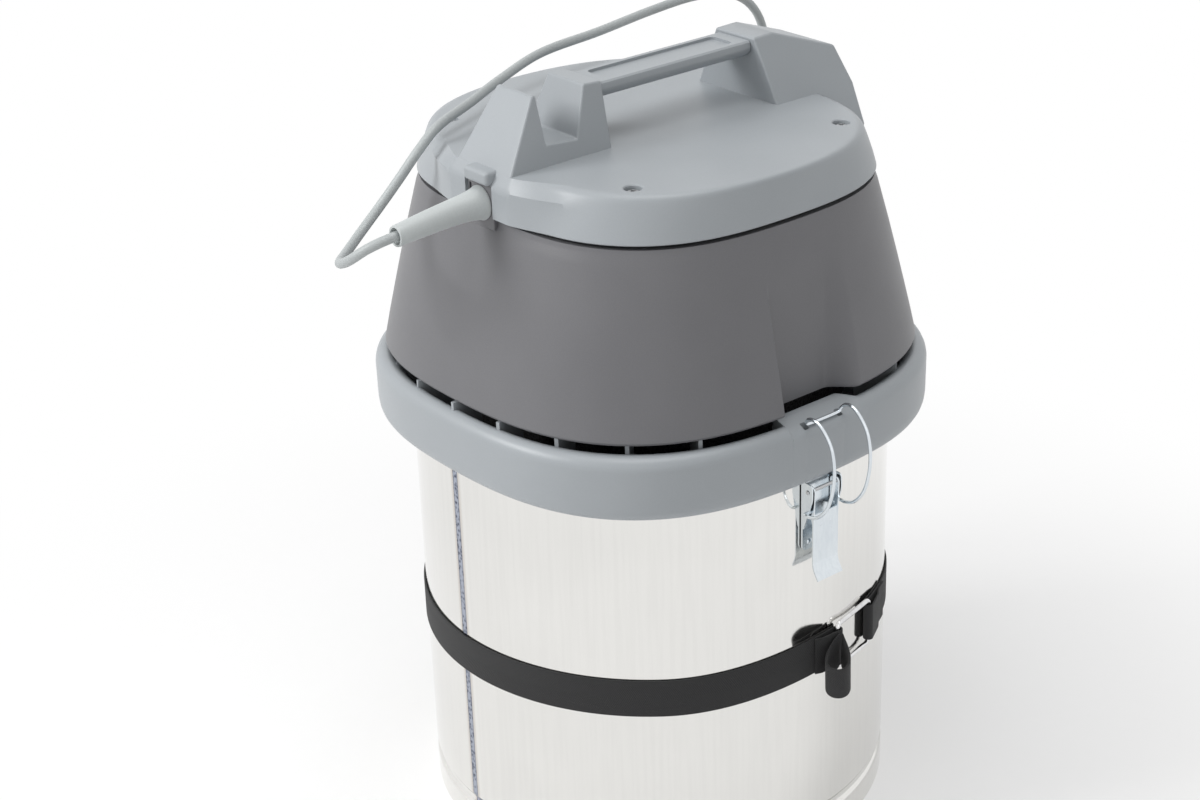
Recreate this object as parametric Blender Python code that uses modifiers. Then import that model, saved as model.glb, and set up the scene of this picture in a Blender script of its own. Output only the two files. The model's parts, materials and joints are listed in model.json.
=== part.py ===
"""Stainless shop vacuum: a container with a lift-off motor head, built piece by piece.

Metres, +Z up. The origin is on the floor under the middle of the tank. -Y is the side where
the cord leaves the lid, +Y is the hose side, and a latch sits at each of +X and -X.
Heights of head pieces, latches and strap are measured from the lower edge of the head ring.
"""
import math

import bmesh
import bpy
from mathutils import Matrix, Vector

# ---- driving sizes ---------------------------------------------------------------------------
CLEARANCE = 0.0003            # left between pieces that touch
RING_Z = 0.335                # floor to the lower edge of the head ring
TURN_STEPS = 40               # sides of a large round piece
SMALL_STEPS = 18              # sides of a small round piece
INNER_STEPS = 24              # sides of a round piece inside the head

TANK_RADIUS = 0.190
TANK_WALL = 0.001
TANK_RIM_Z = 0.005            # above the ring's lower edge
RIM_ROLL = 0.0025
BEAD_Z = 0.0265               # above the floor
BEAD_DEPTH = 0.003
BEAD_HALF = 0.006
FLOOR_SHEET = 0.0015
FLOOR_FLANGE = 0.012
FOOT_INSET = 0.050
FOOT_INNER = TANK_RADIUS - FOOT_INSET
FLOOR_RAISE = 0.004

INLET_Z = 0.260               # above the floor
INLET_PROUD = 0.043           # end of the port, out from the tank
INLET_REACH = TANK_RADIUS + INLET_PROUD
INLET_CUT = 0.040             # half the length of the drill through the tank's wall
INLET_BORE = 0.0190
INLET_WALL = 0.0025
INLET_FLANGE = 0.031
INLET_GASKET = 0.0085         # from the tank's outermost point to the flange
INLET_FLANGE_THICK = 0.0032
DEFLECTOR_REACH = 0.043       # how far it stands into the tank
DEFLECTOR_WALL = 0.0015

STRAP_LOW = -0.182
STRAP_WIDTH = 0.0315
STRAP_THICK = 0.0015
STRAP_RISE = 0.0150           # how much its ends climb to the bail
STRAP_RISE_ANGLE = 45.0
BAIL_WIRE = 0.002             # radius
BAIL_ANGLES = (6.3, 20.0)     # degrees from +X
BAIL_STAND = 0.0045           # its wire's centre, out from the tank
BAIL_MARGIN = 0.0035          # above and below the strap
HOOK_LIFT = 0.2               # share of the hook's radius that its free end leaves the tank by
TAIL_LENGTH = 0.0275
TAIL_WIDTH = 0.018
TAIL_ANGLE = -24.0            # the way the tail loop points, from +X

LATCH_HALF = 0.013            # half the lever's width
LATCH_SHEET = 0.0012
LATCH_STAND = 0.0095          # lever blade's face, out from the tank
PIN_X = 0.0073                # pin, out from the tank
PIN_Z = -0.0083
PIN_RADIUS = 0.0015
WIRE_RADIUS = 0.00125
WIRE_HALF = 0.0185            # half the distance between the wire's two loops
WIRE_PIVOT = (-0.0011, -0.0179)   # from the pin, outward and up
BLADE_TOP = -0.0275
BLADE_FOOT = -0.0770
LIP_DROP = 0.0090
LIP_REACH = 0.0065
EAR_ROUND = 0.0045
CHEEK_FOOT = -0.0355          # where the lever's cheeks run out into its blade
CHEEK_HEEL = [(0.0015, -0.0035), (-0.0031, -0.0020), (-0.0034, 0.0015)]   # round the wire's end
WIRE_SIDE_VIEW = [            # of a wire loop, out from the ring's flat and up
    (0.0086, -0.0170), (0.0171, -0.0080), (0.0248, 0.0080), (0.0264, 0.0250),
    (0.0218, 0.0410), (0.0146, 0.0488), (0.0051, 0.0538), (0.0001, 0.0520)]
WIRE_BAR = (0.0072, 0.0483)   # its cross bar: in from the foot of the notch's slope, and up
LATCH_PLATE_FOOT = -0.060

RING_STAND = 0.020             # ring's widest outline, out from the tank
RING_RADIUS = TANK_RADIUS + RING_STAND
RING_CORNER = 0.0091          # how far the corners stand out, and the flats stand in
RING_RIM_Z = 0.0497
RIM_CREST_IN = 0.0100         # crest of the rim, in from the widest outline
RIM_INNER_IN = 0.0172
RIM_INNER_Z = 0.0421
SKIRT_MARGIN = 0.0124
SKIRT_INNER = TANK_RADIUS + SKIRT_MARGIN
DECK_Z = 0.0145
DECK_THICK = 0.0035
DECK_HOLE = 0.078
RIB_HALF = 0.0015
RIB_STEP = 15
NOTCH_HALF = 0.033
NOTCH_FRONT_Z = 0.0420
NOTCH_TOP_Z = 0.0545
NOTCH_TOP_X = 0.0200          # top of the slope, in from the widest outline
NOTCH_FRONT_X = 0.0110        # foot of the slope, in from the widest outline
NOTCH_BACK_X = 0.0405

FOAM_INSET = 0.054            # its outside, in from the ring's outline
FOAM_WALL = 0.026
FOAM_OUTER = RING_RADIUS - FOAM_INSET
FOAM_INNER = FOAM_OUTER - FOAM_WALL
RIB_MARGIN = 0.012
RIB_INNER = FOAM_OUTER + RIB_MARGIN

HOUSING_GAP = 0.0063          # from the ring's rim up to the housing
HOUSING_Z = RING_RIM_Z + HOUSING_GAP
HOUSING_HEIGHT = 0.1375
HOUSING_TOP = HOUSING_Z + HOUSING_HEIGHT
HOUSING_WALL = 0.003
HOUSING_INSET = 0.0095        # its foot, in from the ring's outline
HOUSING_FOOT = RING_RADIUS - HOUSING_INSET
HOUSING_HEAD = 0.1668
HOUSING_CORNER = 0.0088
HOUSING_STRETCH = 0.0055
HOUSING_DECK = 0.0035
HOUSING_DECK_HOLE = 0.105
RECESS_INSET = 0.0385
RECESS_X = RING_RADIUS - RECESS_INSET
RECESS_HALF = 0.031

LID_GAP = 0.0032              # from the housing up to the lid's skirt
LID_Z = HOUSING_TOP + LID_GAP
LID_HEIGHT = 0.0341
LID_TOP = LID_Z + LID_HEIGHT
LID_RADIUS = 0.1675
LID_CORNER = 0.0092
LID_STRETCH = 0.0055
LID_WALL = 0.003
SCREW_CIRCLE = 0.150
SCREW_ANGLE = 43.3            # degrees from the X axis
SCREW_HEAD = 0.0048
SCREW_SHANK = 0.0018
SCREW_HEAD_THICK = 0.0026
SCREW_SUNK = 0.0022           # head below the lid's top
SCREW_REACH = 0.0060          # how far the shank goes past the housing's deck
WELL_RADIUS = 0.0066
BOSS_WALL = 0.0024

POST_HEIGHT = 0.0499
POST_TOP = LID_TOP + POST_HEIGHT
FRONT_CREST_Y = -0.1204
FRONT_NOTCH = (-0.116, -0.088)    # foot of its front wall and of its rear wall
FRONT_NOTCH_Z = LID_TOP + 0.0132
FRONT_BLOCK_TOP = (-0.0740, -0.0572)
FRONT_FOOT_Y = -0.158
FRONT_FOOT_Z = LID_TOP - 0.0098
FRONT_HALF = 0.032
FRONT_TOP_HALF = 0.021
REAR_FACE_Y = 0.0970
REAR_TOP_Y = 0.0945
REAR_RIDGE_Y = 0.115
REAR_EDGE = (0.1725, LID_TOP + 0.0292)
REAR_BACK_Y = 0.1800
REAR_FOOT_Y = 0.1790
REAR_FOOT_Z = LID_Z + 0.0023
REAR_HALF = 0.0455
REAR_TOP_HALF = 0.0213
POST_ROUND = 0.0022

GRIP_TOP = POST_TOP - 0.0037
GRIP_HEIGHT = 0.0155
GRIP_HALF = 0.0185
GRIP_GROOVE_HALF = 0.0125
GRIP_GROOVE_DEPTH = 0.0022
GRIP_GROOVE_END = 0.012

TONGUE_HALF = 0.0148
TONGUE_FACE_Y = -0.1565
TONGUE_THICK = 0.0085
TONGUE_LOW = HOUSING_TOP - 0.0070
TONGUE_TOP = LID_TOP - 0.0096
TONGUE_GAP = 0.0012
TAB_HALF = 0.020
TAB_REACH_Y = -0.1655
TAB_TOP = LID_TOP + 0.0007
GLAND_Z = LID_Z + 0.0083
RELIEF_END_Y = -0.2330
RELIEF_FLANGE = 0.01325
RELIEF_END = 0.0080
RELIEF_NECK = 0.0068
RELIEF_DROP = 0.006           # how much its far end sags

CORD_RADIUS = 0.00375
CORD_BORE_DEPTH = 0.008
COIL_CENTRE = (-0.210, 0.200)
COIL_OUTER = 0.068
COIL_INNER = 0.034
COIL_HEIGHT = 0.0335
PLUG_RADIUS = 0.018
PLUG_LENGTH = 0.036
PLUG_TAIL = 0.034
PLUG_ANGLE = 215.0            # where the plug's line touches the coil, degrees
PLUG_PIN = 0.0024
PLUG_PIN_LENGTH = 0.019
PLUG_PIN_SPACING = 0.019

CASING_RADIUS = 0.070
CASING_WALL = 0.0015
CASING_TOP = 0.052
CASING_FOOT = -0.012
CASING_FLANGE = 0.088
CASING_EYE = 0.016
GASKET_THICK = 0.0025
MOTOR_RADIUS = 0.048
MOTOR_WALL = 0.002
MOTOR_TOP = 0.120
BRACKET_THICK = 0.004
BEARING_RADIUS = 0.0117
BEARING_THICK = 0.007
SHAFT_RADIUS = 0.004
IMPELLER_MARGIN = 0.006       # from its rim to the casing
IMPELLER_RADIUS = CASING_RADIUS - IMPELLER_MARGIN
IMPELLER_EYE = 0.024
IMPELLER_THICK = 0.020
IMPELLER_GAP = 0.006          # from the casing's floor to the impeller
IMPELLER_BLADE = 0.0015
SHAFT_SUNK = 0.0005           # shaft's end inside the impeller's hub, clear of the float
SHAFT_PROUD = 0.003           # shaft's end above its upper bearing
ARMATURE_RADIUS = 0.028
ARMATURE_LOW = 0.066
ARMATURE_LENGTH = 0.034
COMMUTATOR_RADIUS = 0.014
COMMUTATOR_GAP = 0.0025
COMMUTATOR_LOW = ARMATURE_LOW + ARMATURE_LENGTH + COMMUTATOR_GAP
COMMUTATOR_LENGTH = 0.012
BRUSH_HALF = 0.0035
BRUSH_GAP = 0.0004

FLANGE_RADIUS = 0.100
PLATE_THICK = 0.003
PLATE_DROP = 0.0045           # filter plate's floor below the casing's foot
PLATE_EYE = 0.030
CAGE_RADIUS = 0.050
CAGE_WALL = 0.0025
CAGE_SLOTS = 6
CAGE_SLOT_HALF = 0.014
CAGE_BAND = 0.020             # left above and below the slots
CARTRIDGE_RADIUS = 0.085
CARTRIDGE_LENGTH = 0.134
CAP_RADIUS = 0.088
CAP_THICK = 0.008
BALL_RADIUS = 0.020

SWITCH_Z = LID_TOP + 0.0127
SWITCH_HALF = 0.0140
SWITCH_HEIGHT = 0.0190
SWITCH_FACE_Y = 0.1812
SWITCH_DEPTH = 0.020
ROCKER_HALF = 0.0105
ROCKER_HEIGHT = 0.0108
ROCKER_PIVOT_Y = 0.1715
BEZEL_FRAME = 0.0018

# ---- scene and looks -------------------------------------------------------------------------
for leftover in list(bpy.data.objects):
    bpy.data.objects.remove(leftover, do_unlink=True)
for leftover in list(bpy.data.collections):
    bpy.data.collections.remove(leftover)
PARTS = bpy.data.collections.new("shop_vacuum")
CUTTERS = bpy.data.collections.new("cutters")
bpy.context.scene.collection.children.link(PARTS)
bpy.context.scene.collection.children.link(CUTTERS)


def look(name, colour, roughness, metallic=0.0):
    """A plain Principled material."""
    made = bpy.data.materials.new(name)
    made.use_nodes = True
    shader = made.node_tree.nodes["Principled BSDF"]
    shader.inputs["Base Color"].default_value = (*colour, 1.0)
    shader.inputs["Roughness"].default_value = roughness
    shader.inputs["Metallic"].default_value = metallic
    made.diffuse_color = (*colour, 1.0)
    return made


STAINLESS = look("stainless", (0.80, 0.80, 0.79), 0.12, 1.0)
ZINC = look("zinc_plate", (0.72, 0.76, 0.78), 0.25, 1.0)
CHROME = look("chrome_wire", (0.85, 0.85, 0.85), 0.10, 1.0)
LIGHT_PLASTIC = look("light_grey_plastic", (0.40, 0.43, 0.45), 0.42)
DARK_PLASTIC = look("dark_grey_plastic", (0.17, 0.17, 0.18), 0.45)
BLACK_PLASTIC = look("black_plastic", (0.02, 0.02, 0.02), 0.5)
RUBBER = look("rubber", (0.03, 0.03, 0.03), 0.8)
FOAM = look("foam", (0.02, 0.02, 0.02), 0.95)
WEBBING = look("webbing", (0.02, 0.02, 0.02), 0.9)
CORD_GREY = look("cord_grey", (0.58, 0.60, 0.60), 0.5)
STEEL = look("machined_steel", (0.5, 0.5, 0.5), 0.3, 1.0)
FILTER_CLOTH = look("filter_cloth", (0.75, 0.75, 0.72), 0.9)
COPPER = look("copper", (0.7, 0.35, 0.2), 0.3, 1.0)


# ---- shape helpers ---------------------------------------------------------------------------
def place(name, mesh, finish, at=(0, 0, 0), turn=(0, 0, 0)):
    """Puts a mesh in the scene as one named piece, or as a hidden cutter without a finish."""
    piece = bpy.data.objects.new(name, mesh)
    piece.location = at
    piece.rotation_euler = turn
    if finish is None:
        CUTTERS.objects.link(piece)
        piece.hide_render = True
        piece.display_type = "WIRE"
    else:
        PARTS.objects.link(piece)
        mesh.materials.append(finish)
    return piece


def from_bmesh(name, shape):
    bmesh.ops.recalc_face_normals(shape, faces=shape.faces)
    mesh = bpy.data.meshes.new(name)
    shape.to_mesh(mesh)
    shape.free()
    mesh.shade_smooth()
    mesh.set_sharp_from_angle(angle=math.radians(35))
    return mesh


def turned(name, profile, finish, at=(0, 0, 0), turn=(0, 0, 0), steps=SMALL_STEPS, closed=True):
    """Turns (radius, height) points, outer side first and downward, round local Z."""
    mesh = bpy.data.meshes.new(name)
    edges = [(i, i + 1) for i in range(len(profile) - 1)]
    if closed:
        edges.append((len(profile) - 1, 0))
    mesh.from_pydata([(radius, 0, height) for radius, height in profile], edges, [])
    piece = place(name, mesh, finish, at, turn)
    screw = piece.modifiers.new("turn", "SCREW")
    screw.steps = steps
    screw.render_steps = steps
    screw.use_merge_vertices = True
    screw.merge_threshold = 0.00001
    screw.use_smooth_shade = True
    return piece


def washer(name, inner, outer, low, high, finish, **where):
    """A flat ring or a tube wall, from low to high."""
    return turned(name, [(outer, high), (outer, low), (inner, low), (inner, high)], finish, **where)


def rod(name, radius, low, high, finish, **where):
    """A plain round bar from low to high."""
    profile = [(0, high), (radius, high), (radius, low), (0, low)]
    return turned(name, profile, finish, closed=False, **where)


def loft(name, rings, finish, loop=False, at=(0, 0, 0), turn=(0, 0, 0)):
    """Skins rings of equal point counts; a loop joins the last to the first, else ends are capped."""
    shape = bmesh.new()
    rows = [[shape.verts.new(point) for point in ring] for ring in rings]
    pairs = list(zip(rows, rows[1:]))
    if loop:
        pairs.append((rows[-1], rows[0]))
    for upper, lower in pairs:
        for i in range(len(upper)):
            j = (i + 1) % len(upper)
            shape.faces.new((upper[i], upper[j], lower[j], lower[i]))
    if not loop:
        shape.faces.new(rows[0])
        shape.faces.new(list(reversed(rows[-1])))
    return place(name, from_bmesh(name, shape), finish, at, turn)


def squared(radius, height, corner, stretch=0.0):
    """A round outline with four soft corners, wider along X by the stretch."""
    points = []
    for i in range(TURN_STEPS):
        angle = math.tau * i / TURN_STEPS
        reach = radius - corner * math.cos(4 * angle) + stretch * math.cos(2 * angle)
        points.append((reach * math.cos(angle), reach * math.sin(angle), height))
    return points


def box(name, low, high, finish=None, at=(0, 0, 0), turn=(0, 0, 0)):
    """A box between two corners."""
    shape = bmesh.new()
    bmesh.ops.create_cube(shape, size=1.0)
    size = Vector(high) - Vector(low)
    bmesh.ops.scale(shape, vec=size, verts=shape.verts)
    bmesh.ops.translate(shape, vec=Vector(low) + size / 2, verts=shape.verts)
    return place(name, from_bmesh(name, shape), finish, at, turn)


def prism(name, outline, half_at, finish=None, at=(0, 0, 0), turn=(0, 0, 0)):
    """A (y, z) outline spread to both sides in X, by half_at(z)."""
    shape = bmesh.new()
    sides = []
    for sign in (-1, 1):
        sides.append([shape.verts.new((sign * half_at(z), y, z)) for y, z in outline])
    shape.faces.new(sides[0])
    shape.faces.new(list(reversed(sides[1])))
    for i in range(len(outline)):
        j = (i + 1) % len(outline)
        shape.faces.new((sides[0][i], sides[0][j], sides[1][j], sides[1][i]))
    return place(name, from_bmesh(name, shape), finish, at, turn)


def wedge(name, outline, half, finish=None, at=(0, 0, 0), turn=(0, 0, 0)):
    """An (x, z) outline spread evenly to both sides in Y."""
    swapped = [(-x, z) for x, z in outline]
    piece = prism(name, swapped, lambda z: half, finish, at, turn)
    piece.data.transform(Matrix.Rotation(math.radians(90), 4, "Z"))
    return piece


def tube(name, points, radius, finish, closed=False, fineness=2, at=(0, 0, 0), turn=(0, 0, 0)):
    """A round bar along points, turned into a closed mesh."""
    curve = bpy.data.curves.new(name, "CURVE")
    curve.dimensions = "3D"
    spline = curve.splines.new("POLY")
    spline.points.add(len(points) - 1)
    for target, point in zip(spline.points, points):
        target.co = (*point, 1.0)
    spline.use_cyclic_u = closed
    curve.bevel_depth = radius
    curve.bevel_resolution = fineness
    curve.use_fill_caps = True
    guide = bpy.data.objects.new(name + "_guide", curve)
    CUTTERS.objects.link(guide)
    ready = guide.evaluated_get(bpy.context.evaluated_depsgraph_get())
    shape = bmesh.new()
    shape.from_mesh(bpy.data.meshes.new_from_object(ready))
    bmesh.ops.remove_doubles(shape, verts=shape.verts, dist=0.00001)
    bpy.data.objects.remove(guide, do_unlink=True)
    return place(name, from_bmesh(name, shape), finish, at, turn)


def combine(piece, tool, operation):
    """One exact Boolean, with the tool kept as a hidden cutter."""
    step = piece.modifiers.new(operation.lower() + "_" + tool.name, "BOOLEAN")
    step.operation = operation
    step.object = tool
    step.solver = "EXACT"
    return piece


def cut(piece, *tools):
    for tool in tools:
        combine(piece, tool, "DIFFERENCE")


def join(piece, *tools):
    for tool in tools:
        combine(piece, tool, "UNION")


def rounded(piece, width, segments=1):
    """Rounds a piece's edges."""
    bevel = piece.modifiers.new("round", "BEVEL")
    bevel.width = width
    bevel.segments = segments
    bevel.limit_method = "ANGLE"
    bevel.angle_limit = math.radians(35)
    return piece


def smooth_route(points, spacing):
    """Points at an even spacing on a Catmull-Rom curve through a route."""
    route = [Vector(p) for p in points]
    route = [2 * route[0] - route[1]] + route + [2 * route[-1] - route[-2]]
    fine = []
    for a, b, c, d in zip(route, route[1:], route[2:], route[3:]):
        for step in range(24):
            t = step / 24
            fine.append(0.5 * (2 * b + (c - a) * t + (2 * a - 5 * b + 4 * c - d) * t ** 2
                               + (3 * b - a - 3 * c + d) * t ** 3))
    fine.append(route[-2])
    length = sum((q - p).length for p, q in zip(fine, fine[1:]))
    count = max(2, round(length / spacing))
    even = [fine[0]]
    walked = 0.0
    for p, q in zip(fine, fine[1:]):
        walked += (q - p).length
        if walked >= length * len(even) / count and len(even) < count:
            even.append(q)
    even.append(fine[-1])
    return even


RING = (0, 0, RING_Z)
QUARTER = math.radians(90)


# ---- container -------------------------------------------------------------------------------
def build_tank():
    rim = RING_Z + TANK_RIM_Z
    outer = [(TANK_RADIUS, rim), (TANK_RADIUS + RIM_ROLL, rim - 0.001),
             (TANK_RADIUS + RIM_ROLL, rim - 0.003), (TANK_RADIUS, rim - 0.005)]
    outer += [(TANK_RADIUS, BEAD_Z + BEAD_HALF), (TANK_RADIUS - BEAD_DEPTH, BEAD_Z + BEAD_HALF / 3),
              (TANK_RADIUS - BEAD_DEPTH, BEAD_Z - BEAD_HALF / 3), (TANK_RADIUS, BEAD_Z - BEAD_HALF),
              (TANK_RADIUS, 0)]
    inner_radius = TANK_RADIUS - TANK_WALL
    inner = [(inner_radius, 0), (inner_radius, BEAD_Z - BEAD_HALF),
             (inner_radius - BEAD_DEPTH, BEAD_Z - BEAD_HALF / 3),
             (inner_radius - BEAD_DEPTH, BEAD_Z + BEAD_HALF / 3),
             (inner_radius, BEAD_Z + BEAD_HALF), (inner_radius, rim)]
    shell = turned("tank_shell", outer + inner, STAINLESS, steps=TURN_STEPS)
    hole = rod("inlet_hole", INLET_BORE + INLET_WALL + CLEARANCE, TANK_RADIUS - INLET_CUT,
               TANK_RADIUS + INLET_CUT, None, at=(0, 0, INLET_Z), turn=(-QUARTER, 0, 0))
    cut(shell, hole)
    edge = inner_radius - CLEARANCE
    pan = [(0, FLOOR_RAISE + FLOOR_SHEET), (FOOT_INNER, FLOOR_RAISE + FLOOR_SHEET),
           (FOOT_INNER + FLOOR_RAISE, FLOOR_SHEET), (edge - FLOOR_SHEET, FLOOR_SHEET),
           (edge - FLOOR_SHEET, FLOOR_FLANGE), (edge, FLOOR_FLANGE), (edge, 0),
           (FOOT_INNER + FLOOR_RAISE - FLOOR_SHEET / 2, 0),
           (FOOT_INNER - FLOOR_SHEET / 2, FLOOR_RAISE), (0, FLOOR_RAISE)]
    turned("tank_floor", pan, STAINLESS, steps=TURN_STEPS, closed=False)


def build_inlet():
    where = {"at": (0, 0, INLET_Z), "turn": (-QUARTER, 0, 0)}
    outer = INLET_BORE + INLET_WALL
    flange_in = TANK_RADIUS + INLET_GASKET + CLEARANCE
    flange_out = flange_in + INLET_FLANGE_THICK
    start = TANK_RADIUS - 0.014
    port = [(outer, INLET_REACH), (outer, flange_out), (INLET_FLANGE, flange_out),
            (INLET_FLANGE, flange_in), (outer, flange_in), (outer, start),
            (INLET_BORE, start), (INLET_BORE, INLET_REACH)]
    turned("inlet_port", port, BLACK_PLASTIC, **where)
    gasket = washer("inlet_gasket", outer + CLEARANCE, INLET_FLANGE - 0.001,
                    TANK_RADIUS - 0.006, flange_in - CLEARANCE, RUBBER, **where)
    cut(gasket, rod("tank_space", TANK_RADIUS + CLEARANCE, 0.1, RING_Z, None, steps=TURN_STEPS))
    inner = outer + CLEARANCE
    foot = TANK_RADIUS - DEFLECTOR_REACH
    hood = [(inner + DEFLECTOR_WALL, TANK_RADIUS - 0.009), (inner + DEFLECTOR_WALL, foot), (0, foot),
            (0, foot + DEFLECTOR_WALL), (inner, foot + DEFLECTOR_WALL), (inner, TANK_RADIUS - 0.009)]
    deflector = turned("inlet_deflector", hood, BLACK_PLASTIC, **where)
    cut(deflector, box("deflector_mouth", (-0.030, foot + 0.004, -0.030), (0.030, start - 0.005, -0.004),
                       at=(0, 0, INLET_Z)))


def strap_point(radius, angle):
    """A place on the strap's path; its ends climb towards the bail."""
    start, end = BAIL_ANGLES
    middle = (start + end) / 2
    away = abs((angle - middle + 180) % 360 - 180) - (end - start) / 2
    share = min(1.0, max(0.0, 1 - away / STRAP_RISE_ANGLE))
    rise = STRAP_RISE * share * share * (3 - 2 * share)
    turn = math.radians(angle)
    return Vector((radius * math.cos(turn), radius * math.sin(turn), STRAP_LOW + rise))


def band(name, path):
    """Webbing that stands upright along a path of lower-edge points."""
    shape = bmesh.new()
    low = [shape.verts.new(p) for p in path]
    high = [shape.verts.new(p + Vector((0, 0, STRAP_WIDTH))) for p in path]
    for i in range(len(path) - 1):
        shape.faces.new((low[i], low[i + 1], high[i + 1], high[i]))
    piece = place(name, from_bmesh(name, shape), WEBBING, at=RING)
    skin = piece.modifiers.new("thickness", "SOLIDIFY")
    skin.thickness = STRAP_THICK
    skin.offset = 0
    return piece


def build_strap():
    middle = TANK_RADIUS + CLEARANCE + STRAP_THICK / 2
    leg_radius = TANK_RADIUS + BAIL_STAND
    hook = leg_radius - middle
    start, end = BAIL_ANGLES

    def hooked(leg_angle, side):
        """From the free tail round the bail's leg to the tank; side is the tail's direction."""
        steps = [strap_point(middle + STRAP_THICK + CLEARANCE, leg_angle + side * 8.0),
                 strap_point(leg_radius + hook * HOOK_LIFT, leg_angle + side * 5.5)]
        turn = math.radians(leg_angle)
        leg = Vector((leg_radius * math.cos(turn), leg_radius * math.sin(turn), 0))
        outward = leg.normalized()
        across = Vector((-outward.y, outward.x, 0)) * -side
        height = strap_point(middle, leg_angle).z
        for i in range(7):
            bend = math.pi * i / 6
            spot = leg + outward * hook * math.cos(bend) + across * hook * math.sin(bend)
            steps.append(Vector((spot.x, spot.y, height)))
        return steps

    path = hooked(end, 1)
    sides = 68
    first = end + 3.5
    last = start + 360 - 3.5
    for i in range(sides + 1):
        path.append(strap_point(middle, first + (last - first) * i / sides))
    path += reversed(hooked(start, -1))
    band("strap_webbing", path)

    low = STRAP_LOW + STRAP_RISE - BAIL_MARGIN
    high = low + STRAP_WIDTH + 2 * BAIL_MARGIN
    legs = []
    for angle in (start, end):
        turn = math.radians(angle)
        legs.append((leg_radius * math.cos(turn), leg_radius * math.sin(turn)))
    left, right = legs
    corners = [(*left, low), (*right, low), (*right, high), (*left, high)]
    tube("strap_bail", soft_corners(corners, 0.004), BAIL_WIRE, CHROME, closed=True, at=RING)

    root = strap_point(leg_radius + hook + STRAP_THICK / 2 + CLEARANCE + STRAP_THICK / 2, start - 0.6)
    out = Vector((math.cos(math.radians(TAIL_ANGLE)), math.sin(math.radians(TAIL_ANGLE)), 0))
    sideways = Vector((-out.y, out.x, 0))
    loop = []
    for i in range(17):
        t = i / 16
        reach = TAIL_LENGTH * (math.sin(math.pi * t) ** 0.8)
        swing = TAIL_WIDTH / 2 * math.sin(2 * math.pi * t)
        loop.append(root + out * reach + sideways * (swing + 0.0012 * (1 - 2 * t)))
    band("strap_tail", loop)


def soft_corners(corners, radius, closed=True):
    """Replaces each corner of a path by three points of a small round."""
    points = []
    count = len(corners)
    for i, corner in enumerate(corners):
        here = Vector(corner)
        if not closed and i in (0, count - 1):
            points.append(here)
            continue
        before = (Vector(corners[i - 1]) - here).normalized() * radius
        after = (Vector(corners[(i + 1) % count]) - here).normalized() * radius
        points += [here + before, here + (before + after) * 0.29, here + after]
    return points


# ---- latches ---------------------------------------------------------------------------------
def latch_place(side, x, z):
    """Location and turn of a latch piece at +X (side 1) or -X (side -1)."""
    return {"at": (side * (TANK_RADIUS + x), 0, RING_Z + z), "turn": (0, 0, 0 if side > 0 else math.pi)}


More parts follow.
